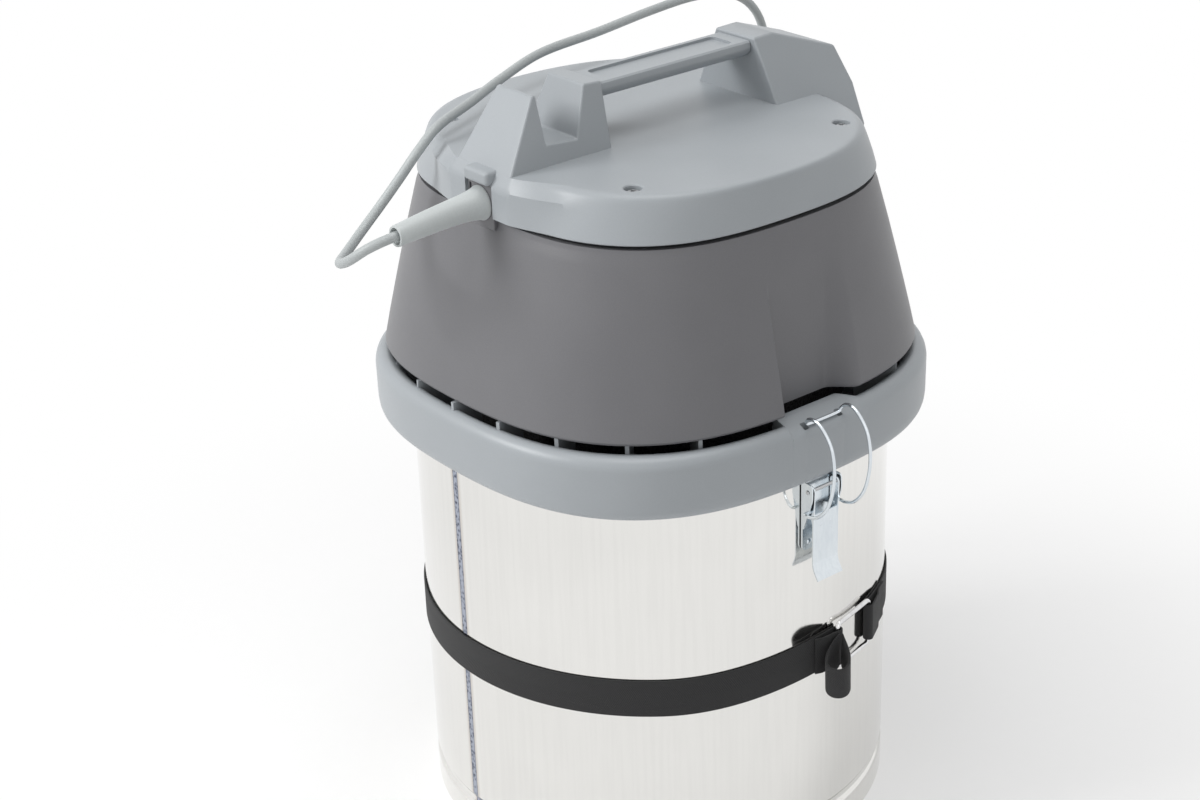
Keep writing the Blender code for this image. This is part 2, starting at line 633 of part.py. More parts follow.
def build_latch(name, side):
    pin_hole = PIN_RADIUS + CLEARANCE
    wire_hole = WIRE_RADIUS + CLEARANCE
    across = {"turn": (-QUARTER, 0, 0)}
    pin = latch_place(side, PIN_X, PIN_Z)
    plate_face = 0.0003 + LATCH_SHEET + 0.0006
    ear_in = LATCH_HALF + LATCH_SHEET / 2 + CLEARANCE + 0.0006
    ear_out = ear_in + LATCH_SHEET
    plate = box("latch_base_" + name, (CLEARANCE - PIN_X, -ear_out, LATCH_PLATE_FOOT - PIN_Z),
                (plate_face - PIN_X, ear_out, -0.0015 - PIN_Z), ZINC, **pin)
    for y_side in (-1, 1):
        low_y, high_y = sorted((y_side * ear_in, y_side * ear_out))
        ear = box(f"base_ear_{name}_{y_side}", (CLEARANCE - PIN_X, low_y, -0.0155 - PIN_Z),
                  (EAR_ROUND, high_y, -0.0015 - PIN_Z), **pin)
        join(plate, ear)
    bore = rod("base_bore_" + name, pin_hole, -0.030, 0.030, None, at=pin["at"], **across)
    cut(plate, bore)
    rod("latch_pin_" + name, PIN_RADIUS, -ear_out - 0.0006, ear_out + 0.0006, STEEL, at=pin["at"],
        steps=SMALL_STEPS, **across)

    face = LATCH_STAND - PIN_X
    cheek = [(-math.cos(math.radians(a)) * EAR_ROUND, math.sin(math.radians(a)) * EAR_ROUND)
             for a in range(0, 181, 30)]
    cheek += [(face + LATCH_SHEET, CHEEK_FOOT - PIN_Z), (face, CHEEK_FOOT - PIN_Z)]
    cheek += [(WIRE_PIVOT[0] + x, WIRE_PIVOT[1] + z) for x, z in CHEEK_HEEL]
    lever = wedge("latch_lever_" + name, cheek, LATCH_HALF, ZINC, **pin)
    room = LATCH_HALF - LATCH_SHEET
    cut(lever, box("lever_room_" + name, (-0.020, -room, BLADE_TOP - PIN_Z), (0.020, room, 0.020), **pin),
        box("lever_back_" + name, (-0.020, -room, -0.060), (face, room, 0.020), **pin))
    blade = box("lever_blade_" + name, (face, -LATCH_HALF, BLADE_FOOT - PIN_Z),
                (face + LATCH_SHEET, LATCH_HALF, BLADE_TOP - PIN_Z), **pin)
    lip_low = BLADE_FOOT - PIN_Z
    lip = wedge("lever_lip_" + name,
                [(face, lip_low), (face + LATCH_SHEET, lip_low),
                 (face + LATCH_SHEET + LIP_REACH, lip_low - LIP_DROP),
                 (face + LIP_REACH, lip_low - LIP_DROP - 0.0006)], LATCH_HALF, **pin)
    join(lever, blade, lip)
    cut(lever, rod("lever_bore_" + name, pin_hole, -0.030, 0.030, None, at=pin["at"], **across))
    wire_at = (side * (TANK_RADIUS + PIN_X + WIRE_PIVOT[0]), 0, RING_Z + PIN_Z + WIRE_PIVOT[1])
    cut(lever, rod("wire_bore_" + name, wire_hole, -0.030, 0.030, None, at=wire_at, **across))

    pivot = (PIN_X + WIRE_PIVOT[0], PIN_Z + WIRE_PIVOT[1])
    bar = (RING_RADIUS - RING_CORNER - NOTCH_FRONT_X + WIRE_BAR[0] - TANK_RADIUS, WIRE_BAR[1])
    half_path = [(pivot[0], LATCH_HALF - LATCH_SHEET - 0.0004, pivot[1]),
                 (pivot[0], WIRE_HALF - 0.0012, pivot[1]), (pivot[0] + 0.0014, WIRE_HALF, pivot[1])]
    half_path += [(x + RING_STAND - RING_CORNER, WIRE_HALF, z) for x, z in WIRE_SIDE_VIEW]
    half_path += [(bar[0], WIRE_HALF - 0.0012, bar[1]), (bar[0], WIRE_HALF - 0.004, bar[1])]
    path = half_path + [(x, -y, z) for x, y, z in reversed(half_path)]
    path = [(x - pivot[0], y, z - pivot[1]) for x, y, z in path]
    tube("latch_wire_" + name, path, WIRE_RADIUS, ZINC, at=wire_at,
         turn=(0, 0, 0 if side > 0 else math.pi))


# ---- head ring and seals ---------------------------------------------------------------------
def build_ring():
    crest = RING_RADIUS - RIM_CREST_IN
    inner = RING_RADIUS - RIM_INNER_IN
    sections = [
        squared(DECK_HOLE, DECK_Z, 0),
        squared(inner - 0.0048, DECK_Z, 0.0050),
        squared(inner - 0.0013, RIM_INNER_Z - 0.0060, 0.0066),
        squared(inner, RIM_INNER_Z, 0.0066),
        squared(inner + 0.0030, RING_RIM_Z - 0.0025, 0.0075),
        squared(crest, RING_RIM_Z, 0.0086),
        squared(crest + 0.0045, RING_RIM_Z - 0.0007, 0.0090),
        squared(RING_RADIUS - 0.0015, RING_RIM_Z - 0.0042, RING_CORNER),
        squared(RING_RADIUS, RING_RIM_Z - 0.0097, RING_CORNER),
        squared(RING_RADIUS - 0.0002, 0.0120, RING_CORNER),
        squared(RING_RADIUS - 0.0015, 0.0040, RING_CORNER),
        squared(RING_RADIUS - 0.0045, 0, RING_CORNER),
        squared(SKIRT_INNER, 0, RING_CORNER),
        squared(SKIRT_INNER, DECK_Z - DECK_THICK, RING_CORNER),
        squared(DECK_HOLE, DECK_Z - DECK_THICK, 0),
    ]
    ring = loft("head_ring", sections, LIGHT_PLASTIC, loop=True, at=RING)
    flat = RING_RADIUS - RING_CORNER
    back = flat - NOTCH_BACK_X
    slope = [(flat - NOTCH_TOP_X, NOTCH_TOP_Z), (flat - NOTCH_FRONT_X + 0.0090, NOTCH_FRONT_Z),
             (flat + 0.020, NOTCH_FRONT_Z - 0.002), (flat + 0.020, NOTCH_TOP_Z + 0.020),
             (back - 0.010, NOTCH_TOP_Z + 0.020), (back - 0.010, NOTCH_TOP_Z)]
    for name, turn in (("right", 0), ("left", math.pi)):
        seat = box("notch_seat_" + name, (back, -NOTCH_HALF, DECK_Z - DECK_THICK / 2),
                   (flat - 0.004, NOTCH_HALF, NOTCH_TOP_Z + 0.004), at=RING, turn=(0, 0, turn))
        join(ring, seat)
        cut(ring, wedge("notch_" + name, slope, NOTCH_HALF, at=RING, turn=(0, 0, turn)))
    ribs = bmesh.new()
    for angle in range(0, 360, RIB_STEP):
        if abs(math.cos(math.radians(angle))) > math.cos(math.radians(2 * RIB_STEP - 1)):
            continue
        spread = 0.0050 * math.cos(4 * math.radians(angle))
        reach = HOUSING_FOOT - 0.0020 - spread
        made = bmesh.ops.create_cube(ribs, size=1.0)["verts"]
        low = DECK_Z - DECK_THICK / 2
        high = HOUSING_Z - CLEARANCE
        bmesh.ops.scale(ribs, vec=(reach - RIB_INNER, 2 * RIB_HALF, high - low), verts=made)
        bmesh.ops.translate(ribs, vec=((reach + RIB_INNER) / 2, 0, (high + low) / 2), verts=made)
        bmesh.ops.rotate(ribs, matrix=Matrix.Rotation(math.radians(angle), 3, "Z"), verts=made)
    join(ring, place("vent_ribs", from_bmesh("vent_ribs", ribs), None, at=RING))


def build_seals():
    washer("rim_gasket", TANK_RADIUS - 0.0080, TANK_RADIUS + RIM_ROLL, TANK_RIM_Z + CLEARANCE,
           DECK_Z - DECK_THICK - CLEARANCE, RUBBER, at=RING, steps=INNER_STEPS)
    washer("exhaust_foam", FOAM_INNER, FOAM_OUTER, DECK_Z + CLEARANCE, HOUSING_Z - 0.002, FOAM,
           at=RING, steps=INNER_STEPS)


# ---- motor housing ---------------------------------------------------------------------------
def housing_sections(inset, low, high):
    """Outlines of the tapering housing, drawn in by a wall."""
    levels = [(HOUSING_Z + 0.0030, 0.0, 0.0003, 0.0), (HOUSING_Z + 0.0440, 0.285, 0.0004, 0.0012),
              (HOUSING_Z + 0.0940, 0.66, 0.0006, 0.0030), (HOUSING_TOP - 0.0085, 0.92, 0.0, 0.0050),
              (HOUSING_TOP - 0.0045, 0.965, 0.0, HOUSING_STRETCH)]
    span = HOUSING_FOOT - HOUSING_HEAD
    rings = [squared(HOUSING_FOOT - 0.002 * (inset == 0) - inset, low, HOUSING_CORNER)]
    for height, share, swell, stretch in levels:
        if low < height < high:
            rings.append(squared(HOUSING_FOOT - span * share + swell - inset, height,
                                 HOUSING_CORNER, stretch))
    rings.append(squared(HOUSING_HEAD - inset, high, HOUSING_CORNER, HOUSING_STRETCH))
    return list(reversed(rings))


def recess(name, x, half, low, high, turn):
    return box(name, (x, -half, low), (x + 0.050, half, high), at=RING, turn=(0, 0, turn))


def build_housing():
    housing = loft("motor_housing", housing_sections(0.0, HOUSING_Z, HOUSING_TOP), DARK_PLASTIC, at=RING)
    hollow = loft("housing_hollow", housing_sections(HOUSING_WALL, HOUSING_Z - 0.004,
                                                     HOUSING_TOP - HOUSING_DECK), None, at=RING)
    for name, turn in (("right", 0), ("left", math.pi)):
        cut(housing, recess("recess_" + name, RECESS_X, RECESS_HALF, HOUSING_Z - 0.02,
                            HOUSING_TOP + 0.01, turn))
        cut(hollow, recess("recess_wall_" + name, RECESS_X - HOUSING_WALL, RECESS_HALF + HOUSING_WALL,
                           HOUSING_Z - 0.02, HOUSING_TOP + 0.01, turn))
    cut(housing, hollow)
    cut(housing, rod("housing_deck_hole", HOUSING_DECK_HOLE, HOUSING_TOP - 0.010, HOUSING_TOP + 0.010,
                     None, at=RING, steps=TURN_STEPS))
    tongue = box("housing_tongue", (-TONGUE_HALF, TONGUE_FACE_Y, TONGUE_LOW),
                 (TONGUE_HALF, TONGUE_FACE_Y + TONGUE_THICK, TONGUE_TOP), at=RING)
    join(housing, tongue)
    cut(housing, rod("relief_hole", RELIEF_NECK + CLEARANCE, -TONGUE_FACE_Y - 0.020,
                     -TONGUE_FACE_Y + 0.010, None, at=(0, 0, RING_Z + GLAND_Z), turn=(QUARTER, 0, 0)))
    for index, spot in enumerate(screw_spots()):
        cut(housing, rod(f"pilot_{index}", SCREW_SHANK + CLEARANCE, HOUSING_TOP - 0.010,
                         HOUSING_TOP + 0.010, None, at=spot, steps=10))


def screw_spots():
    """The four lid screws, at the ring's height."""
    x = SCREW_CIRCLE * math.cos(math.radians(SCREW_ANGLE))
    y = SCREW_CIRCLE * math.sin(math.radians(SCREW_ANGLE))
    return [(sx * x, sy * y, RING_Z) for sx, sy in ((1, 1), (-1, 1), (-1, -1), (1, -1))]


# ---- lid and handle --------------------------------------------------------------------------
def front_half(z):
    slope = (FRONT_HALF - FRONT_TOP_HALF) / (POST_TOP - LID_TOP)
    return FRONT_HALF - slope * (z - LID_TOP)


def rear_half(z):
    slope = (REAR_HALF - REAR_TOP_HALF) / (POST_TOP - LID_TOP)
    return REAR_HALF - slope * (z - LID_TOP)


def build_lid():
    sections = [
        squared(LID_RADIUS - 0.0155, LID_TOP, LID_CORNER - 0.0032, LID_STRETCH + 0.0041),
        squared(LID_RADIUS - 0.0110, LID_TOP - 0.0016, LID_CORNER - 0.0030, LID_STRETCH + 0.0041),
        squared(LID_RADIUS - 0.0060, LID_TOP - 0.0058, LID_CORNER - 0.0020, LID_STRETCH + 0.0031),
        squared(LID_RADIUS - 0.0025, LID_TOP - 0.0128, LID_CORNER - 0.0010, LID_STRETCH + 0.0017),
        squared(LID_RADIUS - 0.0007, LID_TOP - 0.0228, LID_CORNER - 0.0002, LID_STRETCH + 0.0005),
        squared(LID_RADIUS, LID_Z, LID_CORNER, LID_STRETCH),
        squared(LID_RADIUS - LID_WALL, LID_Z, LID_CORNER, LID_STRETCH),
        squared(LID_RADIUS - LID_WALL - 0.0025, LID_TOP - 0.0140, LID_CORNER - 0.0010, LID_STRETCH + 0.0017),
        squared(LID_RADIUS - LID_WALL - 0.0065, LID_TOP - 0.0073, LID_CORNER - 0.0020, LID_STRETCH + 0.0031),
        squared(LID_RADIUS - 0.0155 - LID_WALL, LID_TOP - LID_WALL, LID_CORNER - 0.0032,
                LID_STRETCH + 0.0041),
    ]
    lid = loft("lid", sections, LIGHT_PLASTIC, at=RING)
    front = [(FRONT_FOOT_Y, FRONT_FOOT_Z), (FRONT_CREST_Y - 0.001, POST_TOP + 0.0012),
             (FRONT_CREST_Y + 0.0025, POST_TOP + 0.0012), (FRONT_NOTCH[0], FRONT_NOTCH_Z + 0.0022),
             (FRONT_NOTCH[1], FRONT_NOTCH_Z), (FRONT_BLOCK_TOP[0], POST_TOP),
             (FRONT_BLOCK_TOP[1], POST_TOP - 0.001), (FRONT_BLOCK_TOP[1] - 0.0004, LID_TOP - 0.001),
             (FRONT_BLOCK_TOP[1] - 0.004, LID_TOP - LID_WALL - 0.001),
             (FRONT_FOOT_Y + 0.012, FRONT_FOOT_Z)]
    rear = [(REAR_FACE_Y, LID_TOP - LID_WALL - 0.001), (REAR_TOP_Y, POST_TOP - 0.0010),
            (REAR_RIDGE_Y, POST_TOP - 0.0005), REAR_EDGE, (REAR_BACK_Y, LID_TOP),
            (REAR_FOOT_Y, REAR_FOOT_Z), (REAR_FOOT_Y - 0.028, REAR_FOOT_Z),
            (REAR_FOOT_Y - 0.034, LID_TOP - LID_WALL - 0.001)]
    front_post = rounded(prism("front_post", front, front_half, at=RING), POST_ROUND)
    rear_post = rounded(prism("rear_post", rear, rear_half, at=RING), POST_ROUND)
    tab = rounded(box("gland_tab", (-TAB_HALF, TAB_REACH_Y, TONGUE_TOP + CLEARANCE),
                      (TAB_HALF, FRONT_FOOT_Y + 0.030, TAB_TOP), at=RING), POST_ROUND)
    join(lid, front_post, rear_post, tab)
    gap = TONGUE_HALF + TONGUE_GAP
    cut(lid, box("tongue_slot", (-gap, TAB_REACH_Y - 0.010, LID_Z - 0.010),
                 (gap, TONGUE_FACE_Y + TONGUE_THICK + 0.010, TONGUE_TOP + CLEARANCE), at=RING))
    seat = LID_TOP - SCREW_SUNK - SCREW_HEAD_THICK - CLEARANCE
    for index, spot in enumerate(screw_spots()):
        boss = rod(f"boss_{index}", WELL_RADIUS + BOSS_WALL, HOUSING_TOP + CLEARANCE,
                   LID_TOP - LID_WALL / 2, None, at=spot)
        well = rod(f"well_{index}", WELL_RADIUS, seat, LID_TOP + 0.010, None, at=spot)
        hole = rod(f"screw_hole_{index}", SCREW_SHANK + CLEARANCE, 0.150, LID_TOP, None, at=spot, steps=10)
        join(lid, boss)
        cut(lid, well, hole)
        head = LID_TOP - SCREW_SUNK
        screw = [(0, head), (SCREW_HEAD - 0.0008, head), (SCREW_HEAD, head - 0.0008),
                 (SCREW_HEAD, head - SCREW_HEAD_THICK), (SCREW_SHANK, head - SCREW_HEAD_THICK),
                 (SCREW_SHANK, HOUSING_TOP - SCREW_REACH), (0, HOUSING_TOP - SCREW_REACH)]
        turned(f"lid_screw_{index + 1}", screw, STEEL, at=spot, steps=10, closed=False)
    cut(lid, box("switch_pocket", (-SWITCH_HALF - CLEARANCE, SWITCH_FACE_Y - SWITCH_DEPTH - CLEARANCE,
                                   SWITCH_Z - SWITCH_HEIGHT / 2 - CLEARANCE),
                 (SWITCH_HALF + CLEARANCE, SWITCH_FACE_Y + 0.010,
                  SWITCH_Z + SWITCH_HEIGHT / 2 + CLEARANCE), at=RING))


def build_grip():
    start = FRONT_BLOCK_TOP[1] + CLEARANCE
    end = REAR_TOP_Y - CLEARANCE
    steps = 10
    under = []
    for i in range(steps + 1):
        bend = math.pi * i / steps
        under.append((GRIP_HALF * math.cos(bend),
                      GRIP_TOP - 0.005 - (GRIP_HEIGHT - 0.005) * math.sin(bend)))
    outline = [(GRIP_HALF - 0.0015, GRIP_TOP)] + under + [(-GRIP_HALF + 0.0015, GRIP_TOP)]
    rings = [[(x, y, z) for x, z in outline] for y in (start, end)]
    grip = loft("handle_grip", rings, LIGHT_PLASTIC, at=RING)
    cut(grip, box("grip_groove", (-GRIP_GROOVE_HALF, start + GRIP_GROOVE_END,
                                  GRIP_TOP - GRIP_GROOVE_DEPTH),
                  (GRIP_GROOVE_HALF, end - GRIP_GROOVE_END, GRIP_TOP + 0.010), at=RING))


def build_switch():
    """Rocker switch on the rear post; it turns on an axis along X."""
    low = SWITCH_Z - SWITCH_HEIGHT / 2
    high = SWITCH_Z + SWITCH_HEIGHT / 2
    bezel = box("switch_bezel", (-SWITCH_HALF, SWITCH_FACE_Y - SWITCH_DEPTH, low),
                (SWITCH_HALF, SWITCH_FACE_Y, high), BLACK_PLASTIC, at=RING)
    window_half = ROCKER_HALF + CLEARANCE
    cut(bezel, box("switch_window", (-window_half, SWITCH_FACE_Y - SWITCH_DEPTH + 0.0015,
                                     low + BEZEL_FRAME),
                   (window_half, SWITCH_FACE_Y + 0.01, high - BEZEL_FRAME), at=RING))
    front = SWITCH_FACE_Y + 0.0005 - ROCKER_PIVOT_Y
    half = ROCKER_HEIGHT / 2
    outline = [(front, half), (front - 0.0012, 0), (front, -half), (-0.004, -half * 0.6),
               (-0.004, half * 0.6)]
    prism("switch_rocker", outline, lambda z: ROCKER_HALF, BLACK_PLASTIC,
          at=(0, ROCKER_PIVOT_Y, RING_Z + SWITCH_Z))


# ---- cord ------------------------------------------------------------------------------------
def build_relief():
    """Strain relief through the housing's tongue; its axis points to -Y."""
    collar_in = -TONGUE_FACE_Y - TONGUE_THICK - CLEARANCE
    face = -TONGUE_FACE_Y + CLEARANCE
    end = -RELIEF_END_Y
    span = end - face
    bore = CORD_RADIUS + CLEARANCE
    profile = [(bore, end), (RELIEF_END, end), (RELIEF_END, end - 0.006),
               (RELIEF_END + 0.0008, end - 0.012), (RELIEF_END + 0.0024, face + span * 0.35),
               (RELIEF_END + 0.0036, face + 0.006), (RELIEF_FLANGE, face + 0.0025), (RELIEF_FLANGE, face),
               (RELIEF_NECK, face), (RELIEF_NECK, collar_in), (RELIEF_NECK + 0.0030, collar_in),
               (RELIEF_NECK + 0.0030, collar_in - 0.0035), (0, collar_in - 0.0035),
               (0, end - CORD_BORE_DEPTH), (bore, end - CORD_BORE_DEPTH)]
    guide = turned("relief_guide", profile, None, at=(0, 0, RING_Z + GLAND_Z), turn=(QUARTER, 0, 0))
    ready = guide.evaluated_get(bpy.context.evaluated_depsgraph_get())
    mesh = bpy.data.meshes.new_from_object(ready)
    for vertex in mesh.vertices:
        share = max(0.0, (vertex.co.z - face) / span)
        vertex.co.y -= RELIEF_DROP * share ** 1.5
    place("strain_relief", mesh, CORD_GREY, guide.location, guide.rotation_euler)
    bpy.data.objects.remove(guide, do_unlink=True)


# The cord's own route: over the lid, with heights from its top, then down behind the tank.
HEAD_ROUTE = [
    (0.0000, -0.2338, -0.0319), (-0.0015, -0.2420, -0.0332), (-0.0085, -0.2530, -0.0388),
    (-0.0240, -0.2590, -0.0503), (-0.0450, -0.2530, -0.0593), (-0.0650, -0.2340, -0.0623),
    (-0.0800, -0.2100, -0.0563), (-0.0830, -0.1900, -0.0423), (-0.0760, -0.1760, -0.0228),
    (-0.0700, -0.1600, -0.0018), (-0.0730, -0.1390, 0.0112), (-0.0930, -0.0940, 0.0147),
    (-0.1130, -0.0500, 0.0187), (-0.1280, 0.0030, 0.0257), (-0.1400, 0.0720, 0.0262),
    (-0.1480, 0.1340, 0.0292), (-0.1500, 0.1830, 0.0312), (-0.1500, 0.2210, 0.0272),
    (-0.1500, 0.2500, 0.0117), (-0.1500, 0.2660, -0.0158), (-0.1510, 0.2730, -0.0628)]
FLOOR_ROUTE = [
    (-0.1530, 0.2750, 0.3900), (-0.1570, 0.2790, 0.2500), (-0.1630, 0.2850, 0.1500),
    (-0.1710, 0.2890, 0.0950), (-0.1840, 0.2870, 0.0620), (-0.2030, 0.2760, 0.0450),
    (-0.2220, 0.2590, 0.0385), (-0.2460, 0.2360, 0.0376)]


def build_cord():
    route = [(x, y, RING_Z + LID_TOP + z) for x, y, z in HEAD_ROUTE] + FLOOR_ROUTE
    tube("cord_tube", smooth_route(route, 6 * CORD_RADIUS), CORD_RADIUS, CORD_GREY, fineness=2)
    soft = 0.006
    coil = [(COIL_OUTER - soft, COIL_HEIGHT), (COIL_OUTER, COIL_HEIGHT - soft), (COIL_OUTER, soft),
            (COIL_OUTER - soft, 0), (COIL_INNER + soft, 0), (COIL_INNER, soft),
            (COIL_INNER, COIL_HEIGHT - soft), (COIL_INNER + soft, COIL_HEIGHT)]
    turned("cord_coil", coil, CORD_GREY, at=(*COIL_CENTRE, 0), steps=INNER_STEPS)
    build_plug()


def build_plug():
    """Lies beside the coil, on the line that leaves its outermost turn."""
    turn_radius = COIL_OUTER - CORD_RADIUS
    angle = math.radians(PLUG_ANGLE)
    outward = Vector((math.cos(angle), math.sin(angle), 0))
    ahead = Vector((-outward.y, outward.x, 0))
    tail_radius = 0.0058
    reach = math.sqrt((COIL_OUTER + CLEARANCE) ** 2 - (turn_radius - tail_radius) ** 2)
    start = Vector((*COIL_CENTRE, PLUG_RADIUS)) + outward * turn_radius + ahead * reach
    heading = math.atan2(ahead.y, ahead.x)
    where = {"at": start, "turn": (0, QUARTER, heading)}
    end = PLUG_TAIL + PLUG_LENGTH
    body = [(0, end), (PLUG_RADIUS - 0.002, end), (PLUG_RADIUS, end - 0.002),
            (PLUG_RADIUS, PLUG_TAIL + 0.010), (PLUG_RADIUS - 0.008, PLUG_TAIL),
            (tail_radius, PLUG_TAIL - 0.004), (tail_radius, 0), (0, 0)]
    plug = turned("plug_body", body, CORD_GREY, closed=False, **where)
    for name, offset in (("left", -1), ("right", 1)):
        shift = Vector((-ahead.y, ahead.x, 0)) * offset * PLUG_PIN_SPACING / 2
        socket_depth = 0.006
        spot = start + shift
        cut(plug, rod("pin_socket_" + name, PLUG_PIN + CLEARANCE, end - socket_depth, end + 0.01, None,
                      at=spot, turn=where["turn"], steps=10))
        rod("plug_pin_" + name, PLUG_PIN, end - socket_depth + CLEARANCE, end + PLUG_PIN_LENGTH, STEEL,
            at=spot, turn=where["turn"], steps=10)


# ---- motor, rotor and filter -----------------------------------------------------------------
def build_motor():
    flange = DECK_Z + CLEARANCE + GASKET_THICK + CLEARANCE
    washer("motor_gasket", DECK_HOLE + 0.0012, CASING_FLANGE - 0.001, DECK_Z + CLEARANCE,
           flange - CLEARANCE, RUBBER, at=RING, steps=INNER_STEPS)
    bearing_hole = BEARING_RADIUS + CLEARANCE
    inner = CASING_RADIUS - CASING_WALL
    casing = [(bearing_hole, CASING_TOP), (CASING_RADIUS, CASING_TOP), (CASING_RADIUS, flange + CASING_WALL),
              (CASING_FLANGE, flange + CASING_WALL), (CASING_FLANGE, flange), (CASING_RADIUS, flange),
              (CASING_RADIUS, CASING_FOOT), (CASING_EYE, CASING_FOOT),
              (CASING_EYE, CASING_FOOT + CASING_WALL), (inner, CASING_FOOT + CASING_WALL),
              (inner, CASING_TOP - CASING_WALL), (bearing_hole, CASING_TOP - CASING_WALL)]
    turned("fan_casing", casing, STAINLESS, at=RING, steps=INNER_STEPS)
    low = CASING_TOP + CLEARANCE
    motor = washer("motor_can", MOTOR_RADIUS - MOTOR_WALL, MOTOR_RADIUS, low, MOTOR_TOP, STEEL, at=RING,
                   steps=INNER_STEPS)
    bracket = MOTOR_TOP + CLEARANCE
    washer("motor_bracket", bearing_hole, MOTOR_RADIUS, bracket, bracket + BRACKET_THICK, BLACK_PLASTIC,
           at=RING, steps=INNER_STEPS)
    shaft_hole = SHAFT_RADIUS + CLEARANCE
    lower = CASING_TOP - CASING_WALL
    upper = bracket + BRACKET_THICK - BEARING_THICK
    washer("bearing_lower", shaft_hole, BEARING_RADIUS, lower, lower + BEARING_THICK, STEEL, at=RING)
    washer("bearing_upper", shaft_hole, BEARING_RADIUS, upper, upper + BEARING_THICK, STEEL, at=RING)
    brush_z = COMMUTATOR_LOW + COMMUTATOR_LENGTH / 2
    for name, turn in (("left", 0), ("right", math.pi)):
        box("carbon_brush_" + name,
            (COMMUTATOR_RADIUS + BRUSH_GAP, -BRUSH_HALF, brush_z - BRUSH_HALF),
            (MOTOR_RADIUS - MOTOR_WALL - 0.0006, BRUSH_HALF, brush_z + BRUSH_HALF), BLACK_PLASTIC,
            at=RING, turn=(0, 0, turn))
    foot = CASING_FOOT + CASING_WALL + IMPELLER_GAP
    rod("rotor_shaft", SHAFT_RADIUS, foot + SHAFT_SUNK, upper + BEARING_THICK + SHAFT_PROUD,
        STEEL, at=RING, steps=SMALL_STEPS)
    top = foot + IMPELLER_THICK
    blade = IMPELLER_BLADE
    impeller = [(shaft_hole, top), (IMPELLER_RADIUS, top), (IMPELLER_RADIUS, top - blade),
                (shaft_hole + 0.006, top - blade), (shaft_hole + 0.006, foot), (shaft_hole, foot)]
    wheel = turned("impeller", impeller, STAINLESS, at=RING, steps=INNER_STEPS)
    vanes = bmesh.new()
    for index in range(8):
        made = bmesh.ops.create_cube(vanes, size=1.0)["verts"]
        bmesh.ops.scale(vanes, vec=(IMPELLER_RADIUS - IMPELLER_EYE, blade, IMPELLER_THICK - blade / 2),
                        verts=made)
        bmesh.ops.translate(vanes, vec=((IMPELLER_RADIUS + IMPELLER_EYE) / 2 - 0.001, 0,
                                        (foot + top - blade / 2) / 2), verts=made)
        bmesh.ops.rotate(vanes, matrix=Matrix.Rotation(math.tau * index / 8, 3, "Z"), verts=made)
    join(wheel, place("impeller_vanes", from_bmesh("impeller_vanes", vanes), None, at=RING))
    washer("armature", shaft_hole, ARMATURE_RADIUS, ARMATURE_LOW, ARMATURE_LOW + ARMATURE_LENGTH,
           COPPER, at=RING, steps=INNER_STEPS)
    washer("commutator", shaft_hole, COMMUTATOR_RADIUS, COMMUTATOR_LOW,
           COMMUTATOR_LOW + COMMUTATOR_LENGTH, COPPER, at=RING)


def build_filter():
    deck_under = DECK_Z - DECK_THICK - CLEARANCE
    floor = CASING_FOOT - PLATE_DROP
    collar_in = CASING_RADIUS + 0.0010
    plate = [(FLANGE_RADIUS, deck_under), (FLANGE_RADIUS, deck_under - PLATE_THICK),
             (collar_in + PLATE_THICK, deck_under - PLATE_THICK),
             (collar_in + PLATE_THICK, floor + PLATE_THICK),
             (CAP_RADIUS, floor + PLATE_THICK), (CAP_RADIUS, floor), (PLATE_EYE, floor),
             (PLATE_EYE, floor + PLATE_THICK), (collar_in, floor + PLATE_THICK), (collar_in, deck_under)]
    turned("filter_plate", plate, BLACK_PLASTIC, at=RING, steps=INNER_STEPS)
    top = floor - CLEARANCE
    bottom = top - CARTRIDGE_LENGTH
    cage = [(CAGE_RADIUS, top), (CAGE_RADIUS, bottom), (0, bottom), (0, bottom + CAGE_WALL),
            (CAGE_RADIUS - CAGE_WALL, bottom + CAGE_WALL), (CAGE_RADIUS - CAGE_WALL, top)]
    cage_piece = turned("filter_cage", cage, BLACK_PLASTIC, at=RING, steps=CAGE_SLOTS * 4)
    for index in range(CAGE_SLOTS // 2):
        reach = CAGE_RADIUS + CAGE_BAND
        cut(cage_piece, box(f"cage_slot_{index}", (-reach, -CAGE_SLOT_HALF, bottom + CAGE_BAND),
                            (reach, CAGE_SLOT_HALF, top - CAGE_BAND), at=RING,
                            turn=(0, 0, math.tau * index / CAGE_SLOTS)))
    washer("filter_cartridge", CAGE_RADIUS + CLEARANCE, CARTRIDGE_RADIUS, bottom, top, FILTER_CLOTH,
           at=RING, steps=INNER_STEPS)
    cap_top = bottom - CLEARANCE
    cap = [(0, cap_top), (CAP_RADIUS, cap_top), (CAP_RADIUS, cap_top - CAP_THICK + 0.002),
           (CAP_RADIUS - 0.002, cap_top - CAP_THICK), (0, cap_top - CAP_THICK)]
    turned("filter_cap", cap, BLACK_PLASTIC, at=RING, steps=INNER_STEPS, closed=False)
    ball = bmesh.new()
    bmesh.ops.create_uvsphere(ball, u_segments=14, v_segments=8, radius=BALL_RADIUS)
    rest = bottom + CAGE_WALL + CLEARANCE + BALL_RADIUS
    place("float_ball", from_bmesh("float_ball", ball), LIGHT_PLASTIC, at=(0, 0, RING_Z + rest))


# ---- the whole vacuum ------------------------------------------------------------------------
build_tank()
build_inlet()
build_strap()
build_latch("right", 1)
build_latch("left", -1)
build_ring()
build_seals()
build_housing()
build_lid()
build_grip()
build_switch()
build_relief()
build_cord()
build_motor()
build_filter()
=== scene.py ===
"""Looks of the stainless shop vacuum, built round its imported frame. Metres, +Z up.

Pieces of the head are drawn from the lower edge of the head ring and lifted to its height.
"""
import json
import math

import bmesh
import bpy
from mathutils import Matrix, Vector


